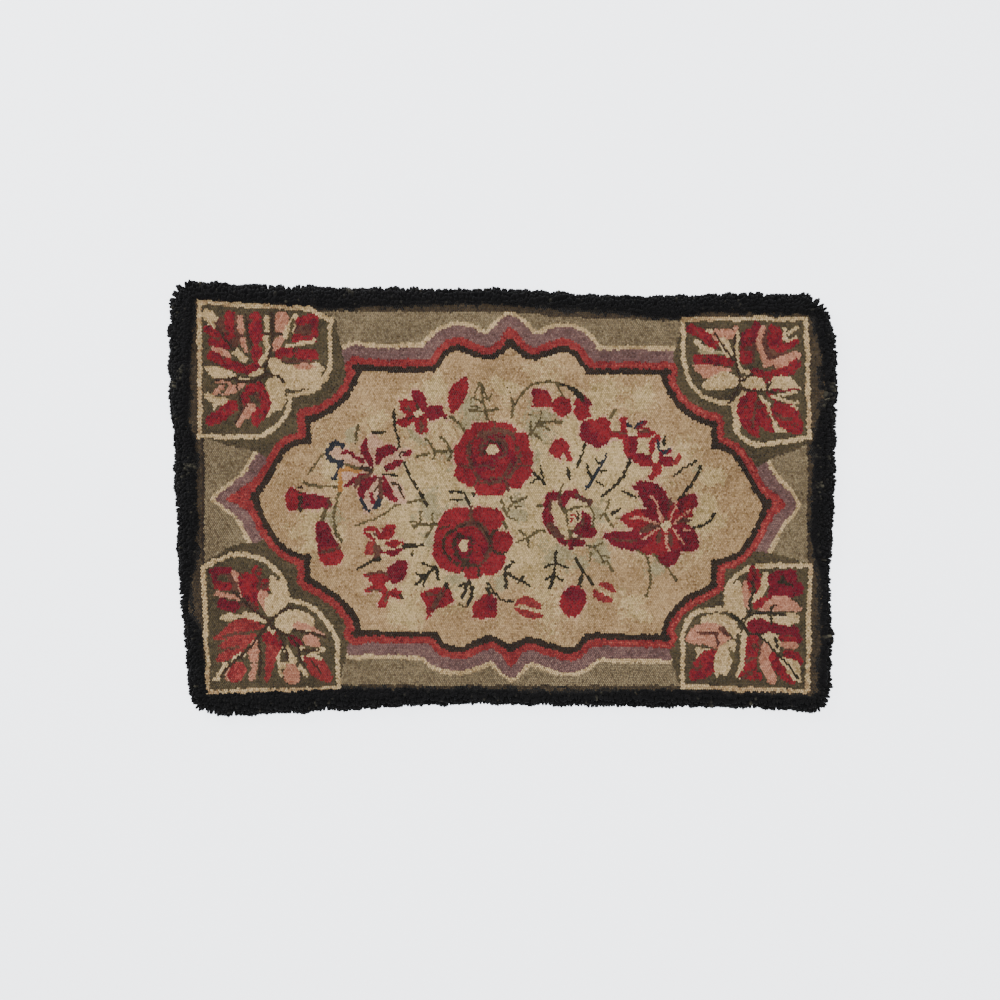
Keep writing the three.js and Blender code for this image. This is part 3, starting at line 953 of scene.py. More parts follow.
# %% Roses
UPPER_ROSE = [
    ("red", "bar", 84, (-16, 64), (-12, 60)),
    ("red", "bar", 27, (-38, 104), (-20, 106)),
    ("red", "bar", 21, (-1, 108), (8, 104)),
    ("red", "bar", 26, (-50, 93), (-53, 86)),
    ("red", "bar", 27, (-60, 74), (-60, 61)),
    ("red", "bar", 28, (-61, 38), (-48, 32)),
    ("red", "bar", 24, (-34, 16), (-6, 16)),
    ("red", "bar", 28, (20, 28), (29, 40)),
    ("red", "bar", 23, (33, 70), (33, 59)),
    ("red", "bar", 24, (26, 90), (29, 83)),
    ("petal_brown", "bar", 3.5, (-13, 118), (-11, 106)),
    ("petal_brown", "bar", 3.5, (18, 101), (10, 97)),
    ("petal_brown", "bar", 3, (41, 50), (27, 51)),
    ("petal_brown", "bar", 4, (9, 12), (5, 25)),
    ("petal_brown", "bar", 3, (-46, 19), (-40, 29)),
    ("petal_brown", "bar", 3, (-67, 49), (-52, 50)),
    ("crimson", "bar", 62, (-18, 70), (-12, 54)),
    ("petal_brown", "speckled", 12, (-34, 98), (-14, 104), (4, 100), (12, 92)),
    ("petal_brown", "speckled", 7, (-36, 98), (-49, 86), (-52, 68), (-50, 53), (-42, 38), (-34, 28)),
    ("petal_brown", "speckled", 7, (-36, 27), (-18, 25), (-2, 27), (11, 34), (20, 47), (24, 63), (20, 80)),
    ("red", "bar", 11, (-42, 72), (-40, 86)),
    ("red", "bar", 10, (6, 91), (12, 76)),
    ("red", "bar", 14, (-36, 60), (-26, 62)),
    ("red", "bar", 17, (-5, 43), (4, 54)),
    ("red", "bar", 12, (-26, 38), (-12, 37)),
    ("petal_brown", "speckled", 4, (-38, 48), (-26, 50), (-14, 46), (-12, 56)),
    ("petal_brown", "speckled", 4, (-18, 32), (-4, 33), (7, 40), (12, 52)),
    ("petal_brown", "speckled", 7, (-34, 68), (-33, 83), (-23, 92), (-10, 91), (1, 83), (4, 70), (-4, 61)),
    ("bark", "speckled", 4, (-27, 68), (-27, 80), (-18, 87), (-6, 84), (-2, 72)),
    ("cream", "bar", 16, (-18, 74), (-14, 73)),
]
LOWER_ROSE = [
    ("red", "bar", 84, (-50, -74), (-46, -64)),
    ("red", "bar", 25, (-80, -28), (-60, -25)),
    ("red", "bar", 20, (-88, -38), (-84, -33)),
    ("red", "bar", 31, (-38, -28), (-15, -32)),
    ("red", "bar", 32, (-3, -69), (-1, -65)),
    ("red", "bar", 30, (-22, -103), (-11, -94)),
    ("red", "bar", 22, (-50, -113), (-40, -112)),
    ("red", "bar", 26, (-86, -98), (-71, -103)),
    ("red", "bar", 27, (-93, -86), (-93, -66)),
    ("red", "bar", 22, (-96, -60), (-92, -50)),
    ("bark", "bar", 3.5, (-8, -48), (-16, -54), (-20, -68), (-16, -80), (-4, -86), (4, -85)),
    ("bark", "bar", 3.5, (-97, -46), (-82, -42)),
    ("bark", "bar", 3.5, (-36, -118), (-38, -104)),
    ("bark", "bar", 3, (-61, -114), (-60, -103)),
    ("crimson", "bar", 58, (-52, -74), (-47, -66)),
    ("petal_brown", "bar", 8, (-68, -43), (-53, -38), (-38, -41), (-26, -50), (-20, -63)),
    ("petal_brown", "speckled", 8, (-20, -63), (-20, -77), (-26, -90), (-34, -99)),
    ("bark", "speckled", 4, (-66, -43), (-53, -38), (-38, -41), (-26, -50), (-20, -63), (-20, -77)),
    ("bark", "bar", 5, (-72, -47), (-84, -54), (-91, -66), (-90, -79), (-84, -90)),
    ("bark", "speckled", 6, (-84, -90), (-73, -99), (-58, -104), (-42, -103)),
    ("red", "bar", 10, (-66, -49), (-48, -48)),
    ("red", "bar", 14, (-42, -52), (-33, -66)),
    ("red", "bar", 14, (-42, -78), (-38, -92)),
    ("red", "bar", 9, (-81, -66), (-80, -84)),
    ("bark", "speckled", 7, (-68, -56), (-74, -68), (-72, -82), (-63, -94), (-53, -100)),
    ("bark", "speckled", 6, (-66, -56), (-54, -57), (-47, -66), (-49, -80), (-53, -94)),
    ("petal_brown", "bar", 6, (-50, -13), (-49, -36)),
    ("moss", "bar", 5, (0, -37), (4, -44)),
    ("cream", "bar", 14, (-60, -68), (-60, -76)),
]
print("strokes in the roses:", hook_strokes(UPPER_ROSE + LOWER_ROSE))

# %% [markdown]
# Three star flowers stand on the left. They have pointed petals with brown folds, and the
# middle one has cream stitches along a petal. Round buds hang above and below the roses.

# %% Star flowers and buds
STARS = [
    ("crimson", "leaf", 22, (-137, 164), (-128, 150), (-130, 132)),
    ("crimson", "bar", 15, (-126, 150), (-130, 136)),
    ("crimson", "bar", 22, (-113, 131), (-102, 133)),
    ("crimson", "tail", 18, (-108, 132), (-97, 132), (-86, 124)),
    ("red", "bar", 20, (-125, 120), (-124, 108)),
    ("red", "leaf", 17, (-134, 124), (-150, 117), (-162, 116)),
    ("red", "leaf", 24, (-130, 132), (-144, 140), (-157, 149)),
    ("bark", "leaf", 6, (-132, 146), (-129, 136)),
    ("petal_brown", "leaf", 8, (-139, 134), (-150, 142)),
    ("petal_brown", "leaf", 8, (-124, 118), (-123, 100)),
    ("bark", "bar", 3.5, (-136, 126), (-144, 121)),
    ("cream", "bar", 10, (-131, 129), (-128, 131)),
    ("cream", "bar", 4, (-128, 134), (-122, 131)),
    ("red", "leaf", 17, (-184, -62), (-176, -50), (-166, -41)),
    ("red", "bar", 7, (-193, -62), (-203, -58), (-211, -50), (-203, -46), (-192, -49), (-187, -58)),
    ("cream", "bar", 3.5, (-207, -50), (-194, -60)),
    ("brick", "leaf", 17, (-192, -68), (-202, -76), (-209, -85)),
    ("petal_brown", "bar", 11, (-192, -72), (-193, -92)),
    ("red", "leaf", 13, (-180, -68), (-166, -68), (-151, -69)),
    ("crimson", "leaf", 14, (-186, -80), (-168, -81), (-152, -73)),
    ("petal_brown", "leaf", 5, (-190, -60), (-200, -52)),
    ("cream", "speckled", 4, (-184, -78), (-170, -76), (-154, -72)),
    ("cream", "speckled", 4, (-186, -86), (-176, -87)),
    ("cream", "bar", 11, (-190, -66), (-186, -67)),
    ("ink", "tail", 7, (-151, -74), (-140, -75), (-122, -71)),
    ("ink", "tail", 7, (-190, -92), (-206, -98), (-223, -109)),
    ("ink", "bar", 4, (-142, -85), (-140, -87)),
    ("crimson", "leaf", 29, (-178, -128), (-164, -114), (-151, -98)),
    ("crimson", "bar", 14, (-170, -124), (-158, -112)),
    ("red", "bar", 18, (-180, -126), (-196, -124)),
    ("red", "tail", 16, (-190, -120), (-211, -117)),
    ("red", "tail", 17, (-182, -134), (-196, -136), (-209, -142)),
    ("red", "bar", 13, (-178, -142), (-184, -160)),
    ("red", "bar", 13, (-170, -140), (-160, -145)),
    ("bark", "bar", 3.5, (-158, -146), (-153, -152)),
    ("petal_brown", "bar", 4.5, (-207, -116), (-190, -113), (-178, -116)),
    ("petal_brown", "bar", 4, (-206, -141), (-188, -139)),
    ("petal_brown", "bar", 4, (-176, -142), (-180, -156)),
    ("cream", "bar", 12, (-175, -132), (-172, -134)),
]
BUDS = [
    ("red", "leaf", 25, (-77, 133), (-70, 158), (-58, 184)),
    ("red", "bar", 17, (-72, 146), (-64, 168)),
    ("crimson", "bar", 17, (51, 160), (64, 157)),
    ("red", "bar", 19, (54, 150), (67, 150)),
    ("red", "leaf", 9, (43, 140), (58, 143), (77, 142)),
    ("red", "bar", 29, (91, 142), (92, 141)),
    ("red", "bar", 22, (122, 147), (121, 131)),
    ("red", "bar", 11, (120, 126), (130, 129)),
    ("crimson", "bar", 10, (124, 152), (132, 146)),
    ("ink", "drop", 9, (90, 176), (103, 169), (115, 160), (121, 153)),
    ("red", "bar", 29, (88, 78), (86, 74)),
    ("red", "bar", 9, (98, 72), (101, 60)),
    ("pale", "leaf", 9, (92, 68), (93, 56)),
    ("crimson", "bar", 40, (138, 101), (146, 98)),
    ("red", "bar", 22, (136, 111), (153, 113)),
    ("red", "bar", 20, (154, 108), (155, 96)),
    ("crimson", "bar", 14, (126, 112), (128, 96)),
    ("red", "bar", 28, (-34, -169), (-23, -169)),
    ("red", "leaf", 22, (-20, -148), (-24, -160), (-26, -176)),
    ("crimson", "bar", 15, (-17, -158), (-17, -172)),
    ("red", "bar", 9, (-42, -180), (-14, -178)),
    ("ink", "bar", 5, (-22, -139), (-20, -148)),
    ("red", "leaf", 42, (113, -142), (108, -155), (101, -174)),
    ("crimson", "bar", 19, (101, -147), (119, -148)),
    ("crimson", "bar", 9, (108, -140), (124, -143)),
    ("brick", "leaf", 14, (19, -162), (36, -157), (60, -168)),
    ("brick", "leaf", 12, (18, -169), (36, -176), (60, -180)),
    ("cream", "bar", 3.5, (24, -167), (52, -172)),
    ("brick", "leaf", 12, (148, -131), (158, -133), (170, -141)),
    ("brick", "leaf", 15, (140, -140), (150, -150), (168, -157)),
    ("cream", "bar", 3.5, (148, -140), (160, -147)),
]
DIAMOND_BUD = [(-126, -145), (-84, -132), (-75, -157), (-103, -172), (-116, -185), (-117, -163)]
BUD_FOLDS = [
    ("petal_brown", "speckled", 7, (-86, -131), (-97, -149), (-106, -168)),
    ("petal_brown", "bar", 5, (-114, -147), (-98, -148)),
    ("ink", "bar", 5, (-88, -130), (-86, -136)),
]
hook("red", enclosed(drawn_x, drawn_y, DIAMOND_BUD))
print("strokes in the stars and buds:", hook_strokes(STARS + BUDS + BUD_FOLDS))

# %% [markdown]
# The two trumpet flowers have a tapering crimson tube, a darker ring and a wide red mouth.
# The open rose is mostly outline: a broad curl of dark red, cream inside, and one small curl
# in its middle.

# %% Trumpets and the open rose
TRUMPETS = [
    ("crimson", "funnel", 27, (-270, -8), (-290, -6), (-310, -4)),
    ("petal_brown", "bar", 5, (-266, -2), (-266, -13)),
    ("red", "bar", 24, (-322, 4), (-322, -9)),
    ("bark", "speckled", 7, (-311, 18), (-310, -2), (-310, -19)),
    ("moss", "bar", 5, (-274, -17), (-279, -34)),
    ("crimson", "funnel", 36, (-277, -44), (-272, -62), (-264, -84)),
    ("red", "bar", 29, (-267, -88), (-258, -87)),
    ("petal_brown", "speckled", 6, (-280, -84), (-263, -80), (-250, -76)),
]
OPEN_ROSE = [
    ("pale", "bar", 60, (98, -36), (106, -30)),
    ("crimson", "bar", 13, (86, 2), (76, 5), (70, -4), (67, -20), (68, -34)),
    ("crimson", "bar", 14, (70, -26), (71, -38), (78, -50)),
    ("petal_brown", "bar", 12, (72, -42), (80, -52), (88, -60)),
    ("petal_brown", "bar", 5, (73, -2), (73, -22)),
    ("crimson", "bar", 9, (86, -62), (94, -68)),
    ("crimson", "leaf", 15, (91, -16), (95, 0), (106, 10)),
    ("crimson", "bar", 13, (100, 6), (110, 7)),
    ("crimson", "tail", 12, (108, 6), (118, 0), (134, -4)),
    ("petal_brown", "bar", 6, (112, 4), (122, -3), (133, -5)),
    ("petal_brown", "bar", 6, (133, -3), (132, -9)),
    ("moss", "tail", 6, (88, -4), (88, 8), (90, 21)),
    ("petal_brown", "bar", 6, (87, 4), (88, -8), (92, -16)),
    ("moss", "bar", 5, (92, -16), (97, -26), (99, -38), (103, -50), (103, -60), (99, -70)),
    ("moss", "bar", 4.5, (95, -21), (104, -17), (112, -14), (119, -14)),
    ("moss", "bar", 3.5, (125, -14), (133, -15), (138, -24), (139, -34), (136, -44)),
    ("crimson", "leaf", 17, (121, -22), (126, -34), (124, -50)),
    ("crimson", "bar", 16, (114, -46), (122, -44)),
    ("bark", "bar", 4, (113, -20), (114, -34)),
    ("petal_brown", "bar", 4, (121, -28), (121, -38), (113, -45), (107, -48)),
    ("cream", "bar", 12, (105, -28), (105, -40)),
    ("brick", "bar", 3.5, (102, -26), (109, -26)),
    ("brick", "bar", 3.5, (104, -30), (105, -36)),
    ("crimson", "bar", 13, (106, -66), (118, -68)),
    ("crimson", "leaf", 10, (100, -64), (103, -72), (106, -80)),
    ("petal_brown", "bar", 6, (105, -59), (116, -58), (128, -54)),
    ("crimson", "bar", 13, (128, -55), (136, -52)),
    ("cream", "bar", 4, (109, -58), (110, -58)),
]
print("strokes in the trumpets and open rose:", hook_strokes(TRUMPETS + OPEN_ROSE))

# %% [markdown]
# The lily on the right has seven broad red petals with brown folds between them and a broken
# pink vein along each. The one on the left is striped: pink petals with dark red stripes,
# some of them edged in navy and one in mustard, from whatever wool was at hand.

# %% Lilies
LILY = [
    ("petal_brown", "bar", 40, (252, -34), (262, -30)),
    ("crimson", "leaf", 39, (250, -30), (234, -3), (209, 21)),
    ("crimson", "leaf", 15, (224, 12), (199, 17)),
    ("crimson", "bar", 20, (230, -8), (224, 6)),
    ("petal_brown", "leaf", 15, (248, -30), (253, -14), (256, 0)),
    ("crimson", "bar", 14, (246, -4), (244, -20)),
    ("red", "leaf", 28, (254, -34), (270, -16), (284, -6)),
    ("crimson", "leaf", 24, (268, -12), (280, -10), (293, 2)),
    ("red", "bar", 12, (280, -10), (284, -24)),
    ("petal_brown", "leaf", 10, (262, -38), (274, -34), (287, -34)),
    ("red", "leaf", 12, (262, -42), (284, -44)),
    ("crimson", "leaf", 40, (258, -48), (276, -60), (292, -72)),
    ("crimson", "bar", 28, (274, -62), (280, -68)),
    ("crimson", "leaf", 38, (248, -50), (252, -74), (253, -102)),
    ("red", "bar", 18, (258, -54), (262, -70)),
    ("red", "leaf", 38, (246, -46), (230, -62), (214, -78)),
    ("red", "bar", 20, (234, -60), (242, -80)),
    ("petal_brown", "leaf", 9, (242, -50), (236, -70)),
    ("petal_brown", "leaf", 7, (256, -50), (258, -72)),
    ("red", "leaf", 36, (244, -40), (216, -34), (186, -31)),
    ("red", "bar", 20, (208, -38), (222, -34)),
    ("petal_brown", "leaf", 13, (244, -38), (226, -44), (208, -52)),
    ("crimson", "leaf", 15, (244, -34), (224, -24), (214, -18)),
    ("crimson", "leaf", 30, (226, -64), (196, -66), (156, -58)),
    ("crimson", "tail", 16, (196, -70), (176, -68), (154, -56)),
    ("crimson", "bar", 16, (200, -56), (206, -70)),
    ("petal_brown", "bar", 3.5, (168, -62), (184, -66), (204, -66)),
    ("salmon", "bar", 3.6, (226, 2), (233, -4), (236, -14)),
    ("salmon", "speckled", 4, (236, -14), (240, -24), (243, -32)),
    ("salmon", "bar", 3.2, (265, -3), (262, -16), (254, -31)),
    ("salmon", "speckled", 4, (284, -20), (273, -26), (263, -36)),
    ("salmon", "bar", 3.4, (284, -49), (274, -48)),
    ("salmon", "bar", 3.2, (262, -46), (268, -58), (276, -70)),
    ("salmon", "speckled", 4.4, (251, -50), (251, -64), (253, -80)),
    ("salmon", "bar", 3.4, (238, -46), (226, -56), (212, -63)),
    ("salmon", "speckled", 4.6, (195, -30), (214, -29), (230, -36), (240, -38)),
    ("cream", "bar", 15, (249, -41), (251, -40)),
]
STRIPED_LILY = [
    ("blush", "leaf", 22, (-264, 72), (-236, 64), (-200, 46)),
    ("blush", "leaf", 26, (-200, 96), (-193, 74), (-190, 46)),
    ("blush", "leaf", 24, (-140, 72), (-164, 62), (-186, 42)),
    ("blush", "leaf", 22, (-250, 36), (-224, 34), (-196, 38)),
    ("blush", "leaf", 28, (-208, -20), (-202, 2), (-190, 30)),
    ("blush", "leaf", 26, (-150, -6), (-164, 10), (-184, 36)),
    ("navy", "bar", 8, (-245, 80), (-255, 83), (-264, 77), (-269, 68), (-262, 60), (-246, 56)),
    ("navy", "bar", 7.5, (-246, 57), (-250, 44), (-259, 31)),
    ("crimson", "bar", 6, (-244, 70), (-236, 71), (-225, 63), (-215, 57)),
    ("crimson", "leaf", 13, (-207, 92), (-212, 75), (-206, 61), (-198, 46)),
    ("crimson", "leaf", 15, (-166, 77), (-179, 74), (-188, 64), (-190, 50)),
    ("crimson", "bar", 9, (-174, 72), (-168, 74)),
    ("crimson", "bar", 9, (-149, 69), (-144, 71)),
    ("bark", "bar", 3, (-150, 72), (-156, 70), (-158, 64)),
    ("crimson", "leaf", 12, (-154, 58), (-168, 52), (-181, 44)),
    ("mustard", "bar", 6.5, (-249, 14), (-249, 30), (-247, 43), (-235, 45), (-220, 43)),
    ("moss", "bar", 5, (-238, 52), (-224, 48), (-212, 46)),
    ("bark", "bar", 7, (-216, 47), (-206, 44), (-199, 40)),
    ("crimson", "leaf", 10, (-243, 18), (-228, 28), (-208, 38)),
    ("petal_brown", "leaf", 10, (-226, 16), (-217, 29), (-200, 37)),
    ("crimson", "leaf", 17, (-192, 31), (-207, 23), (-215, 12), (-214, 2)),
    ("navy", "bar", 4.5, (-217, -1), (-212, -12), (-204, -20)),
    ("crimson", "bar", 6, (-200, 7), (-199, -6)),
    ("bark", "bar", 3, (-191, 18), (-195, 11)),
    ("navy", "bar", 7, (-188, 0), (-190, -9), (-196, -13)),
    ("petal_brown", "bar", 7, (-187, 28), (-186, 12), (-186, 2)),
    ("crimson", "leaf", 15, (-181, 32), (-176, 16), (-172, 4), (-162, -3)),
    ("bark", "bar", 3, (-168, 24), (-160, 20), (-155, 8), (-150, -1)),
    ("ink", "bar", 4.5, (-181, 37), (-172, 37), (-162, 35)),
    ("cream", "bar", 13, (-190, 41), (-186, 43)),
]
print("strokes in the lilies:", hook_strokes(LILY + STRIPED_LILY))

# %% [markdown]
# A pair of small orchids closes the bouquet at the upper right. Their petals are bars and
# leaves around two cream centres, with navy folds and one salmon tip.

# %% Orchids
ORCHIDS = [
    ("red", "bar", 9, (184, 96), (183, 118)),
    ("red", "bar", 5, (180, 122), (189, 121)),
    ("red", "leaf", 15, (196, 98), (182, 97), (164, 98)),
    ("red", "bar", 9, (168, 97), (186, 97)),
    ("petal_brown", "bar", 3.5, (170, 101), (188, 100)),
    ("crimson", "leaf", 11, (200, 104), (208, 112), (222, 117)),
    ("red", "leaf", 17, (200, 97), (216, 100), (232, 100)),
    ("petal_brown", "leaf", 7, (206, 103), (222, 102)),
    ("crimson", "bar", 20, (196, 90), (195, 70)),
    ("red", "bar", 9, (189, 88), (191, 68)),
    ("red", "bar", 15, (204, 60), (216, 56), (228, 56)),
    ("crimson", "bar", 10, (206, 64), (222, 62)),
    ("red", "bar", 10, (238, 91), (229, 86), (227, 72)),
    ("crimson", "bar", 15, (242, 58), (256, 56)),
    ("crimson", "bar", 8, (242, 68), (254, 72)),
    ("brick", "leaf", 10, (258, 54), (266, 58), (270, 68)),
    ("red", "bar", 13, (234, 52), (238, 42)),
    ("red", "bar", 9, (236, 40), (228, 31)),
    ("navy", "bar", 6, (190, 114), (195, 110)),
    ("navy", "bar", 4, (201, 106), (206, 114), (214, 118)),
    ("navy", "bar", 5, (238, 85), (238, 75), (246, 70), (254, 75)),
    ("ink", "leaf", 6, (248, 95), (247, 78)),
    ("salmon", "bar", 3.5, (210, 104), (214, 105)),
    ("cream", "bar", 5, (242, 82), (242, 76)),
    ("cream", "bar", 12, (196, 101), (199, 100)),
    ("cream", "bar", 11, (232, 66), (233, 61)),
]
print("strokes in the orchids:", hook_strokes(ORCHIDS))

# %% [markdown]
# Old red dye runs when a rug is washed. The light wool right beside the reds has turned pink,
# so each light tuft that has a red neighbour is looked up on a coarse net and hooked in blush.

# %% Pink where the red dye ran
BLEED_CELL = 2.6
BLEED_SHARE = 0.8
BLEED_EDGE = -8


def hooked_with(*yarns):
    """Which tufts are of one of these yarns."""
    return np.isin(tuft_yarn, [YARN_NAMES.index(yarn) for yarn in yarns])


def beside_yarns(*yarns):
    """Which tufts have a tuft of one of these yarns in their own or a neighbouring cell."""
    column = np.floor((tuft_x + HALF_LENGTH) / BLEED_CELL).astype(int) + 1
    row = np.floor((tuft_y + HALF_WIDTH) / BLEED_CELL).astype(int) + 1
    marked = np.zeros((row.max() + 3, column.max() + 3), bool)
    dyed = hooked_with(*yarns)
    marked[row[dyed], column[dyed]] = True
    spread = marked.copy()
    for rows, columns in ((1, 0), (-1, 0), (0, 1), (0, -1)):
        spread |= np.roll(marked, (rows, columns), axis=(0, 1))
    return spread[row, column]


light_wool = hooked_with("ground", "pale", "sage")
by_chance = chance.uniform(0, 1, len(tuft_x)) < BLEED_SHARE
bled = light_wool & beside_yarns("red", "crimson") & by_chance & (beyond < BLEED_EDGE)
hook("blush", bled)
print("tufts that the red dye reached:", int(bled.sum()))

# %% [markdown]
# Now the tufts become wool. A loop of yarn shows as a small rounded bead, a little longer than
# wide, that lies along the row it was hooked in. One bead is only ten triangles: a top point,
# a rim of five and a point below. There are over seventy thousand of them, so they are not
# copied objects: numpy writes all beads of one yarn into one mesh at once, which takes a
# fraction of a second. Neighbours are wide enough to press into each other, as wool does. Light
# and shade are painted into each bead's colour: its top point is lighter, a painted highlight,
# and its rim and lower point are darker, painted shade down between the beads where no light
# reaches. Over the folded hem a bead stops short, so that it never comes out at the back. Both
# ends of the medallion have also gone a little brown with age.

# %% Beads of wool
BEAD_LENGTH = 4.9
BEAD_WIDTH = 4.1
BEAD_SHOULDER = 3.3
BEAD_DEPTH = 6.9
BEAD_SIDES = 5
BEAD_TURN = 16
BEAD_SIZES = (0.9, 1.12)
TOP_UNEVEN = {"broad": 0.5, "fine": 0.35, "each": 0.35}
CROWN_SLIP = 0.5
BEAD_SHADE = {"middle": 0.56, "broad": 0.19, "fine": 0.17, "rows": 0.14, "each": 0.28}
CROWN_PAINTED_HIGHLIGHT = 0.26
GAP_PAINTED_SHADE = 0.78
MOST_BEADS = 19000
HEM_END_INSET = 41.0
HEM_FOOT = 1.4
BROWN_ENDS = {"middle": -8, "from": 250, "over": 80, "darker": 0.2}
MAP_MARGIN = 0.01


def mesh_from_arrays(name, points, triangles):
    """A mesh object from arrays. points is in metres, triangles holds point numbers."""
    mesh = bpy.data.meshes.new(name)
    mesh.vertices.add(len(points))
    mesh.vertices.foreach_set("co", points.astype(np.float32).ravel())
    mesh.loops.add(triangles.size)
    mesh.loops.foreach_set("vertex_index", triangles.astype(np.int32).ravel())
    mesh.polygons.add(len(triangles))
    mesh.polygons.foreach_set("loop_start", np.arange(0, triangles.size, 3, dtype=np.int32))
    mesh.polygons.foreach_set("use_smooth", np.ones(len(triangles), bool))
    mesh.update(calc_edges=True)
    piece = bpy.data.objects.new(name, mesh)
    bpy.context.scene.collection.objects.link(piece)
    return piece


def give_points_a_value(piece, name, values):
    """Stores one number per point, which a material reads by this name."""
    layer = piece.data.attributes.new(name, "FLOAT", "POINT")
    layer.data.foreach_set("value", values.astype(np.float32))


def give_flat_map(piece):
    """A UV map seen from straight above, over the rug's whole face."""
    points = np.empty(3 * len(piece.data.vertices), np.float32)
    piece.data.vertices.foreach_get("co", points)
    corners = np.empty(len(piece.data.loops), np.int32)
    piece.data.loops.foreach_get("vertex_index", corners)
    flat = points.reshape(-1, 3)[corners, :2]
    low, high = flat.min(axis=0), flat.max(axis=0)
    flat = MAP_MARGIN + (1 - 2 * MAP_MARGIN) * (flat - low) / (high - low).max()
    layer = piece.data.uv_layers.new(name="OFBake")
    layer.data.foreach_set("uv", flat.astype(np.float32).ravel())


def bead_mesh(name, tufts):
    """One mesh with a bead on each of these tufts."""
    count = len(tufts)
    x, y = tuft_x[tufts], tuft_y[tufts]
    turn = np.radians(tuft_heading[tufts] + chance.normal(0, BEAD_TURN, count))
    size = chance.uniform(*BEAD_SIZES, count)
    top = PILE_HEIGHT + TOP_UNEVEN["broad"] * uneven(x, y, 60, 21)
    top += TOP_UNEVEN["fine"] * uneven(x, y, 9, 22)
    top += chance.uniform(-TOP_UNEVEN["each"], TOP_UNEVEN["each"], count)
    points = np.zeros((count, BEAD_SIDES + 2, 3))
    for corner in range(BEAD_SIDES):
        angle = 2 * math.pi * corner / BEAD_SIDES
        along = 0.5 * BEAD_LENGTH * size * math.cos(angle)
        aside = 0.5 * BEAD_WIDTH * size * math.sin(angle)
        points[:, corner + 1, 0] = along * np.cos(turn) - aside * np.sin(turn)
        points[:, corner + 1, 1] = along * np.sin(turn) + aside * np.cos(turn)
        points[:, corner + 1, 2] = -BEAD_SHOULDER * size
    points[:, 0, :2] = chance.uniform(-CROWN_SLIP, CROWN_SLIP, (count, 2))
    above_hem = ~enclosed(x, y, edge_ring(HEM_END_INSET, RING_POINTS))
    points[:, -1, 2] = np.maximum(-BEAD_DEPTH, np.where(above_hem, HEM_FOOT, 0) - top)
    points += np.stack([x, y, top], axis=1)[:, None, :]
    corners = np.arange(BEAD_SIDES)
    after = (corners + 1) % BEAD_SIDES
    upper = np.stack([np.zeros(BEAD_SIDES, int), corners + 1, after + 1], axis=1)
    lower = np.stack([np.full(BEAD_SIDES, BEAD_SIDES + 1), after + 1, corners + 1], axis=1)
    one = np.vstack([upper, lower])
    triangles = (one[None] + (BEAD_SIDES + 2) * np.arange(count)[:, None, None]).reshape(-1, 3)
    piece = mesh_from_arrays(name, points.reshape(-1, 3) * MILLIMETRE, triangles)
    shade = BEAD_SHADE["middle"] + BEAD_SHADE["broad"] * uneven(x, y, 55, 31)
    shade += BEAD_SHADE["fine"] * uneven(x, y, 14, 32)
    shade += BEAD_SHADE["rows"] * uneven(x / 5, y, 4, 33) + chance.normal(0, BEAD_SHADE["each"], count)
    at_ends = np.abs(x - BROWN_ENDS["middle"]) - BROWN_ENDS["from"]
    at_ends = np.clip(at_ends / BROWN_ENDS["over"], 0, 1)
    shade -= BROWN_ENDS["darker"] * at_ends * (beyond[tufts] < -4)
    shades = np.repeat(shade[:, None], BEAD_SIDES + 2, axis=1)
    # Painted highlight on each bead's top point, painted shade on its rim and lower point.
    shades[:, 0] += CROWN_PAINTED_HIGHLIGHT
    shades[:, 1:] -= GAP_PAINTED_SHADE
    give_points_a_value(piece, "shade", np.clip(shades, 0, 1).ravel())
    give_flat_map(piece)
    return piece

# %% [markdown]
# Every part of the rug gets its material and rides on its one body, and the imported solid
# is then hidden.

# %% Pieces of the rug
def finish_piece(piece, material):
    """Gives a piece its material and its place in the frame."""
    piece.data.materials.append(material)
    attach(piece, "root")
    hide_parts("hooked_rug")
    return piece


# %% [markdown]
# All the wool has the same fibres, whatever its colour. They are one node group: it takes the
# three tones of a yarn and the tuft's own shade, breaks the shade up with a fine noise on
# object coordinates, and gives back a colour and a fuzzy normal.

# %% Shared fibres
FIBRE_SCALE = 900
FIBRE_DETAIL = 3
FIBRE_HEIGHT = 0.0006


def add_socket(group, name, kind, way, value=None):
    """A named input or output of a node group."""
    socket = group.interface.new_socket(name=name, in_out=way, socket_type=kind)
    if value is not None:
        socket.default_value = value
    return socket


def math_node(nodes, links, operation, first, second, clamp=False):
    """A math node between sockets or numbers. Returns its output."""
    node = nodes.new("ShaderNodeMath")
    node.operation = operation
    node.use_clamp = clamp
    for socket, value in zip(node.inputs, (first, second)):
        if isinstance(value, (int, float)):
            socket.default_value = value
        else:
            links.new(value, socket)
    return node.outputs["Value"]


def mix_colors(nodes, links, share, first, second):
    """Mixes two colour sockets by a share socket. Returns the mixed colour."""
    node = nodes.new("ShaderNodeMix")
    node.data_type = "RGBA"
    links.new(share, node.inputs["Factor"])
    links.new(first, node.inputs["A"])
    links.new(second, node.inputs["B"])
    return node.outputs["Result"]


def noise_on_object(nodes, links, scale, detail):
    """A noise over object coordinates. Returns its value."""
    place = nodes.new("ShaderNodeTexCoord")
    noise = nodes.new("ShaderNodeTexNoise")
    noise.inputs["Scale"].default_value = scale
    noise.inputs["Detail"].default_value = detail
    links.new(place.outputs["Object"], noise.inputs["Vector"])
    return noise.outputs["Fac"]


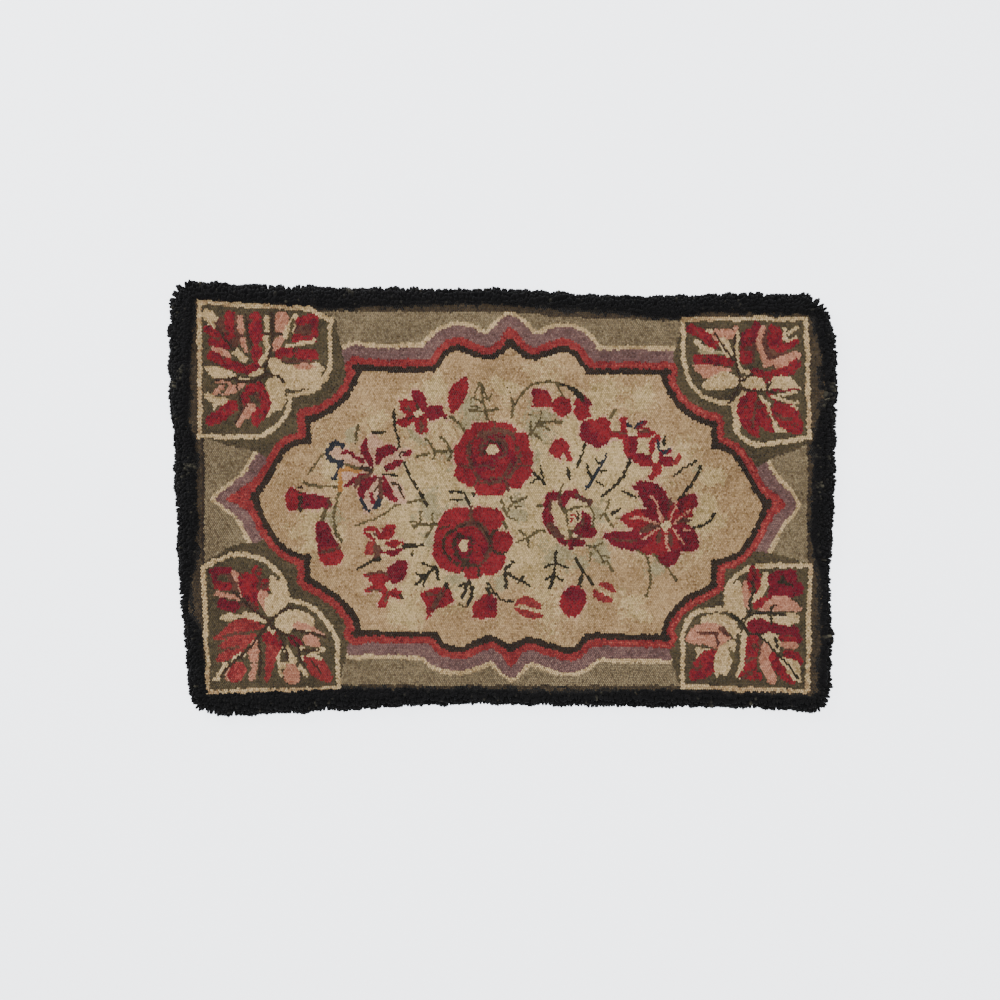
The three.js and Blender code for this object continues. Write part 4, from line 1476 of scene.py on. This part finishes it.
def make_fibre_group():
    """Node group for the colour and the fuzz of wool."""
    group = bpy.data.node_groups.new("wool fibres", "ShaderNodeTree")
    for name in ("Dark", "Middle", "Light"):
        add_socket(group, name, "NodeSocketColor", "INPUT", (0.5, 0.5, 0.5, 1))
    add_socket(group, "Shade", "NodeSocketFloat", "INPUT", 0.5)
    add_socket(group, "Unevenness", "NodeSocketFloat", "INPUT", 0.5)
    add_socket(group, "Fuzz", "NodeSocketFloat", "INPUT", 0.4)
    add_socket(group, "Color", "NodeSocketColor", "OUTPUT")
    add_socket(group, "Normal", "NodeSocketVector", "OUTPUT")
    nodes, links = group.nodes, group.links
    given = nodes.new("NodeGroupInput").outputs
    result = nodes.new("NodeGroupOutput").inputs
    fibre = noise_on_object(nodes, links, FIBRE_SCALE, FIBRE_DETAIL)
    stray = math_node(nodes, links, "SUBTRACT", fibre, 0.5)
    stray = math_node(nodes, links, "MULTIPLY", stray, given["Unevenness"])
    shade = math_node(nodes, links, "ADD", given["Shade"], stray)
    doubled = math_node(nodes, links, "MULTIPLY", shade, 2)
    low_share = math_node(nodes, links, "ADD", doubled, 0, clamp=True)
    high_share = math_node(nodes, links, "SUBTRACT", doubled, 1, clamp=True)
    color = mix_colors(nodes, links, low_share, given["Dark"], given["Middle"])
    color = mix_colors(nodes, links, high_share, color, given["Light"])
    links.new(color, result["Color"])
    bump = nodes.new("ShaderNodeBump")
    bump.inputs["Distance"].default_value = FIBRE_HEIGHT
    links.new(given["Fuzz"], bump.inputs["Strength"])
    links.new(fibre, bump.inputs["Height"])
    links.new(bump.outputs["Normal"], result["Normal"])
    return group


fibre_group = make_fibre_group()
print("node group:", fibre_group.name)

# %% [markdown]
# A yarn's material is the fibre group with three tones, and a matt shader with a little sheen
# for the wool's soft edge. Paint values of 0 to 255 are turned into the linear light values
# that Blender reckons with.

# %% Yarn materials
WOOL_ROUGHNESS = 0.95
WOOL_SPECULAR = 0.12
SHEEN_ROUGHNESS = 0.6


def light_value(paint):
    """A colour of 0 to 255 as linear light."""
    shares = [channel / 255 for channel in paint]
    return [s / 12.92 if s < 0.04045 else ((s + 0.055) / 1.055) ** 2.4 for s in shares] + [1]


def make_fibre_material(name, tones, unevenness, fuzz, sheen):
    """A wool or hessian material in three tones."""
    material = bpy.data.materials.new(name)
    material.use_nodes = True
    nodes, links = material.node_tree.nodes, material.node_tree.links
    fibres = nodes.new("ShaderNodeGroup")
    fibres.node_tree = fibre_group
    for socket, tone in zip(("Dark", "Middle", "Light"), tones):
        fibres.inputs[socket].default_value = light_value(tone)
    fibres.inputs["Unevenness"].default_value = unevenness
    fibres.inputs["Fuzz"].default_value = fuzz
    shade = nodes.new("ShaderNodeAttribute")
    shade.attribute_name = "shade"
    links.new(shade.outputs["Fac"], fibres.inputs["Shade"])
    shader = nodes["Principled BSDF"]
    shader.inputs["Roughness"].default_value = WOOL_ROUGHNESS
    shader.inputs["Specular IOR Level"].default_value = WOOL_SPECULAR
    shader.inputs["Sheen Weight"].default_value = sheen
    shader.inputs["Sheen Roughness"].default_value = SHEEN_ROUGHNESS
    links.new(fibres.outputs["Color"], shader.inputs["Base Color"])
    links.new(fibres.outputs["Normal"], shader.inputs["Normal"])
    return material


# %% [markdown]
# The field is made yarn by yarn. A yarn with very many tufts is split into two pieces, so that
# no piece grows too heavy.

# %% Pile of the field
for number, yarn in enumerate(YARN_NAMES):
    tufts = np.nonzero(tuft_yarn == number)[0]
    wool = make_fibre_material(
        "wool " + yarn.replace("_", " "), YARNS[yarn], unevenness=0.6, fuzz=0.45, sheen=0.12
    )
    parts = math.ceil(len(tufts) / MOST_BEADS)
    for part, chosen in enumerate(np.array_split(tufts, max(parts, 1))):
        name = "pile_" + yarn + ("" if parts < 2 else "_" + "ab"[part])
        finish_piece(bead_mesh(name, chosen), wool)

# %% [markdown]
# The shag is cut loops: soft black locks about 14 mm high. They crowd each other, so they lean
# in clumps, and at the rim they hang outwards over the edge of the cloth and make its ragged
# outline. A lock is a blunt closed tube of 30 triangles with a wide foot, so that no cloth shows
# between its neighbours. The locks stand on a net over the border, from the rim to the inner
# edge. Here and there olive and grey wool was mixed in, which shows as flecks on the two sides.

# %% Shag border
LOCK_PITCH = 3.2
LOCK_RIM_INSET = 6.5
LOCK_SIDES = 5
LOCK_FOOT = 1.4
LOCK_RINGS = ((0.0, 3.3), (0.6, 3.0), (1.0, 2.2))
LOCK_TIP = 1.0
LOCK_BULGE = 0.18
LOCK_HEIGHTS = (3.0, 16.0)
CLUMP_LENGTH = 15
LEAN_IN_CLUMPS = 2.6
CORNER_LEAN = 2.0
CORNER_BAND = {"to": 22, "over": 8}
CALM_AT_CORNERS = 0.75
BESIDE_FIELD = {"lean_gap": 5, "less_lean": 1.5, "height_gap": 3.5, "less_height": 2.5}
LEAN_SPREAD = 0.4
LEAN_WAVES = 1.4
TIP_SPREAD = 0.5
HEIGHT_SPREAD = 0.7
HEIGHT_WAVES = 1.5
LOCK_SHADE = {"middle": 0.25, "each": 0.12, "flecks": 0.55, "fleck_from": 0.75}
LOCK_FOOT_PAINTED_SHADE = 0.2
LOCK_TIP_PAINTED_HIGHLIGHT = 0.1
FLECKED = {"from_x": 440, "left_above": 20, "right_middle": 30, "right_beyond": 110}
RIM_PROFILE = {
    "gap": (6, 10, 14, 19),
    "height": (4.5, 9.5, 13.2, 14.4),
    "lean_out": (7.0, 9.6, 7.0, 1.0),
}


def lock_feet():
    """Where the locks stand, in millimetres."""
    columns = np.arange(-HALF_LENGTH, HALF_LENGTH, LOCK_PITCH)
    x, y = np.meshgrid(columns, np.arange(-HALF_WIDTH, HALF_WIDTH, LOCK_PITCH))
    x[1::2] += LOCK_PITCH / 2
    x = (x + chance.uniform(-1, 1, x.shape)).ravel()
    y = (y + chance.uniform(-1, 1, y.shape)).ravel()
    on_border = enclosed(x, y, edge_ring(LOCK_RIM_INSET, RING_POINTS))
    on_border &= ~enclosed(x, y, SHAG_FOOT)
    return np.column_stack([x, y, np.full(len(x), LOCK_FOOT)])[on_border]


def lock_tips(feet):
    """Where the locks end: outwards at the rim, in clumps, and lower beside the field."""
    x, y = feet[:, 0], feet[:, 1]
    outline = closed(edge_ring(0, CLOTH_POINTS))
    gap = line_distance(x, y, outline)
    outwards = -np.stack(distance_rises(x, y, outline, 1), axis=1)
    outwards /= np.maximum(np.hypot(*outwards.T), 0.5)[:, None]
    field_gap = line_distance(x, y, closed(SHAG_FOOT))
    lean = np.interp(gap, RIM_PROFILE["gap"], RIM_PROFILE["lean_out"])
    lean -= BESIDE_FIELD["less_lean"] * (field_gap < BESIDE_FIELD["lean_gap"])
    lean += chance.normal(0, LEAN_SPREAD, len(x)) + LEAN_WAVES * uneven(x, y, 9, 46)
    at_corner = 2 * np.abs(outwards[:, 0] * outwards[:, 1])
    at_rim = np.clip((CORNER_BAND["to"] - gap) / CORNER_BAND["over"], 0, 1)
    lean += CORNER_LEAN * at_corner * at_rim
    clump = np.stack([uneven(x, y, CLUMP_LENGTH, layer) for layer in (41, 42)], axis=1)
    tips = feet.copy()
    clump *= (LEAN_IN_CLUMPS * (1 - CALM_AT_CORNERS * at_corner))[:, None]
    tips[:, :2] += outwards * lean[:, None] + clump + chance.normal(0, TIP_SPREAD, (len(x), 2))
    height = np.interp(gap, RIM_PROFILE["gap"], RIM_PROFILE["height"])
    height -= BESIDE_FIELD["less_height"] * (field_gap < BESIDE_FIELD["height_gap"])
    height += HEIGHT_WAVES * uneven(x, y, 11, 43) + chance.normal(0, HEIGHT_SPREAD, len(x))
    tips[:, 2] = np.clip(height, *LOCK_HEIGHTS)
    return tips


def lock_mesh(name, feet, tips):
    """One mesh with all these locks."""
    count = len(feet)
    turn = chance.uniform(0, math.pi, count)
    thick = chance.uniform(0.8, 1.2, count)
    rings = len(LOCK_RINGS)
    points = np.zeros((count, rings * LOCK_SIDES + 2, 3))
    bulge = (tips - feet)[:, :2] * LOCK_BULGE
    for level, (share, radius) in enumerate(LOCK_RINGS):
        middle = feet + (tips - feet) * share
        middle[:, :2] -= bulge * math.sin(math.pi * share)
        for corner in range(LOCK_SIDES):
            angle = turn + 2 * math.pi * corner / LOCK_SIDES
            spot = points[:, level * LOCK_SIDES + corner]
            spot[:, 0] = middle[:, 0] + radius * thick * np.cos(angle)
            spot[:, 1] = middle[:, 1] + radius * thick * np.sin(angle)
            spot[:, 2] = middle[:, 2]
    points[:, -2] = feet
    points[:, -1] = tips + [0, 0, LOCK_TIP]
    triangles = []
    foot_point, tip_point = rings * LOCK_SIDES, rings * LOCK_SIDES + 1
    for corner in range(LOCK_SIDES):
        after = (corner + 1) % LOCK_SIDES
        triangles.append((foot_point, after, corner))
        for level in range(rings - 1):
            low, high = level * LOCK_SIDES, (level + 1) * LOCK_SIDES
            triangles.append((low + corner, low + after, high + after))
            triangles.append((low + corner, high + after, high + corner))
        top = (rings - 1) * LOCK_SIDES
        triangles.append((top + corner, top + after, tip_point))
    one = np.array(triangles)
    all_triangles = (one[None] + points.shape[1] * np.arange(count)[:, None, None]).reshape(-1, 3)
    piece = mesh_from_arrays(name, points.reshape(-1, 3) * MILLIMETRE, all_triangles)
    x, y = feet[:, 0], feet[:, 1]
    on_left = (x < -FLECKED["from_x"]) & (y > FLECKED["left_above"])
    on_right = np.abs(y - FLECKED["right_middle"]) > FLECKED["right_beyond"]
    on_right &= x > FLECKED["from_x"]
    fleck = uneven(x, y, 24, 44) + 0.7 * uneven(x, y, 7, 45) + 0.4 * (on_left | on_right)
    shade = LOCK_SHADE["middle"] + chance.normal(0, LOCK_SHADE["each"], count)
    shade += LOCK_SHADE["flecks"] * np.clip(fleck - LOCK_SHADE["fleck_from"], 0, 1)
    shades = np.repeat(shade[:, None], points.shape[1], axis=1)
    # Painted shade on each lock's foot ring, and a painted highlight on its tip.
    shades[:, :LOCK_SIDES] -= LOCK_FOOT_PAINTED_SHADE
    shades[:, -1] += LOCK_TIP_PAINTED_HIGHLIGHT
    give_points_a_value(piece, "shade", np.clip(shades, 0, 1).ravel())
    return piece


SHAG_TONES = ((9, 9, 11), (19, 18, 19), (92, 88, 74))
shag_material = make_fibre_material("black shag", SHAG_TONES, unevenness=0.35, fuzz=0.6, sheen=0.05)
feet = lock_feet()
tips = lock_tips(feet)
order = np.argsort(feet[:, 0])
for half, chosen in zip(("left", "right"), np.array_split(order, 2)):
    piece = lock_mesh("shag_" + half, feet[chosen], tips[chosen])
    finish_piece(piece, shag_material)

# %% [markdown]
# Under the wool lies the foundation: one piece of hessian with its edge turned to the back.
# It starts as a filled circle whose points are pushed onto the edge of the rug. Insetting it
# marks where the hem ends, extruding its rim down and then inwards folds the hem, and
# Solidify gives the cloth its thickness. Inside the hem the cloth sinks onto the floor.

# %% Hessian foundation
CLOTH_INSET = 9.5
CLOTH_THICKNESS = 0.0009
CLOTH_HIGH = 0.0017
CLOTH_LOW = 0.00055
HEM_WIDTH = 22.0
HEM_ROOM = 1.25
SINK_WIDTH = 2


def deselect_all():
    """Nothing stays selected, so that the next operator meets only its own piece."""
    if bpy.context.object and bpy.context.object.mode == "EDIT":
        bpy.ops.object.mode_set(mode="OBJECT")
    bpy.ops.object.select_all(action="DESELECT")


deselect_all()
bpy.ops.mesh.primitive_circle_add(vertices=CLOTH_POINTS, radius=0.5, fill_type="NGON")
cloth = bpy.context.object
cloth.name = "hessian_foundation"
rim = edge_ring(CLOTH_INSET, CLOTH_POINTS) * MILLIMETRE
start = int(np.argmin(np.abs(np.arctan2(rim[:, 1], rim[:, 0]) - math.pi / 2)))
spun = cloth.data.vertices[1].co.x < cloth.data.vertices[0].co.x
for number, vertex in enumerate(cloth.data.vertices):
    spot = rim[(start + (number if spun else -number)) % CLOTH_POINTS]
    vertex.co = (spot[0], spot[1], CLOTH_HIGH)
print("rim of the cloth:", len(rim), "points")
bpy.ops.object.mode_set(mode="EDIT")
bpy.ops.mesh.select_all(action="SELECT")
bpy.ops.mesh.normals_make_consistent(inside=False)
bpy.ops.mesh.inset(thickness=HEM_WIDTH * MILLIMETRE * HEM_ROOM)
bpy.ops.mesh.inset(thickness=SINK_WIDTH * MILLIMETRE)
bpy.ops.transform.translate(value=(0, 0, CLOTH_LOW - CLOTH_HIGH))
bpy.ops.mesh.select_all(action="DESELECT")
bpy.ops.mesh.select_mode(type="EDGE")
bpy.ops.mesh.select_non_manifold()
bpy.ops.mesh.extrude_region_move(TRANSFORM_OT_translate={"value": (0, 0, CLOTH_LOW - CLOTH_HIGH)})
bpy.ops.mesh.extrude_region_move()
shrink = (1 - HEM_WIDTH / HALF_LENGTH, 1 - HEM_WIDTH / HALF_WIDTH, 1)
bpy.ops.transform.resize(value=shrink, center_override=(0, 0, CLOTH_LOW))
bpy.ops.object.mode_set(mode="OBJECT")
thickness = cloth.modifiers.new("cloth thickness", "SOLIDIFY")
thickness.thickness = CLOTH_THICKNESS
thickness.offset = 0
bpy.ops.object.modifier_apply(modifier=thickness.name)
bpy.ops.object.mode_set(mode="EDIT")
bpy.ops.mesh.select_all(action="SELECT")
bpy.ops.mesh.normals_make_consistent(inside=False)
bpy.ops.mesh.quads_convert_to_tris()
bpy.ops.object.mode_set(mode="OBJECT")
print("faces of the cloth:", len(cloth.data.polygons))

# %% [markdown]
# Hessian is a plain weave of coarse jute. Two wave textures at right angles are its warp and
# weft, and the higher of the two is what shows. The shared fibres colour the threads.

# %% Hessian material
HESSIAN_TONES = ((96, 72, 44), (146, 116, 78), (178, 150, 110))
THREADS_PER_METRE = 450
hessian = make_fibre_material(
    "hessian weave", HESSIAN_TONES, unevenness=0.9, fuzz=0.5, sheen=0.05
)
nodes, links = hessian.node_tree.nodes, hessian.node_tree.links
waves = []
for direction in ("X", "Y"):
    wave = nodes.new("ShaderNodeTexWave")
    wave.bands_direction = direction
    wave.inputs["Scale"].default_value = THREADS_PER_METRE / 20 * math.pi
    wave.inputs["Distortion"].default_value = 0.6
    place = nodes.new("ShaderNodeTexCoord")
    links.new(place.outputs["Object"], wave.inputs["Vector"])
    waves.append(wave.outputs["Fac"])
weave = math_node(nodes, links, "MAXIMUM", *waves)
fibres = next(node for node in nodes if node.type == "GROUP")
links.new(weave, fibres.inputs["Shade"])
bump = nodes.new("ShaderNodeBump")
bump.inputs["Strength"].default_value = 0.7
bump.inputs["Distance"].default_value = FIBRE_HEIGHT
links.new(weave, bump.inputs["Height"])
links.new(fibres.outputs["Normal"], bump.inputs["Normal"])
links.new(bump.outputs["Normal"], nodes["Principled BSDF"].inputs["Normal"])
finish_piece(cloth, hessian)

# %% [markdown]
# The rug lies on a plain pale floor. One large soft light hangs above it and a second comes in
# low from the upper left, so that the loops and the shag throw short soft shadows. The world
# adds an even fill.

# %% Floor and lights
FLOOR_SIZE = 12
FLOOR_GLOW = 2.8
WORLD_LIGHT = 0.43
deselect_all()
bpy.ops.mesh.primitive_plane_add(size=FLOOR_SIZE)
floor = bpy.context.object
floor.name = "floor"
floor_material = bpy.data.materials.new("pale floor")
floor_material.use_nodes = True
floor_shader = floor_material.node_tree.nodes["Principled BSDF"]
floor_shader.inputs["Base Color"].default_value = light_value((248, 249, 252))
floor_shader.inputs["Roughness"].default_value = 0.9
floor_shader.inputs["Emission Color"].default_value = light_value((244, 248, 255))
floor_shader.inputs["Emission Strength"].default_value = FLOOR_GLOW
floor.data.materials.append(floor_material)

LIGHTS = [
    {"name": "overhead", "at": (0.3, 0.2, 2.9), "size": 2.2, "watts": 70},
    {"name": "side", "at": (-2.3, 2.2, 1.5), "size": 1.2, "watts": 84},
]
for light in LIGHTS:
    bpy.ops.object.light_add(type="AREA", location=light["at"])
    lamp = bpy.context.object
    lamp.name = light["name"]
    lamp.data.size = light["size"]
    lamp.data.energy = light["watts"]
    x, y, z = light["at"]
    lamp.rotation_euler = (math.atan2(math.hypot(x, y), z), 0, math.atan2(y, x) + math.pi / 2)
world = bpy.data.worlds.new("studio")
bpy.context.scene.world = world
world.use_nodes = True
background = world.node_tree.nodes["Background"]
background.inputs["Color"].default_value = (0.95, 0.97, 1, 1)
background.inputs["Strength"].default_value = WORLD_LIGHT
print("lights:", [light["name"] for light in LIGHTS])
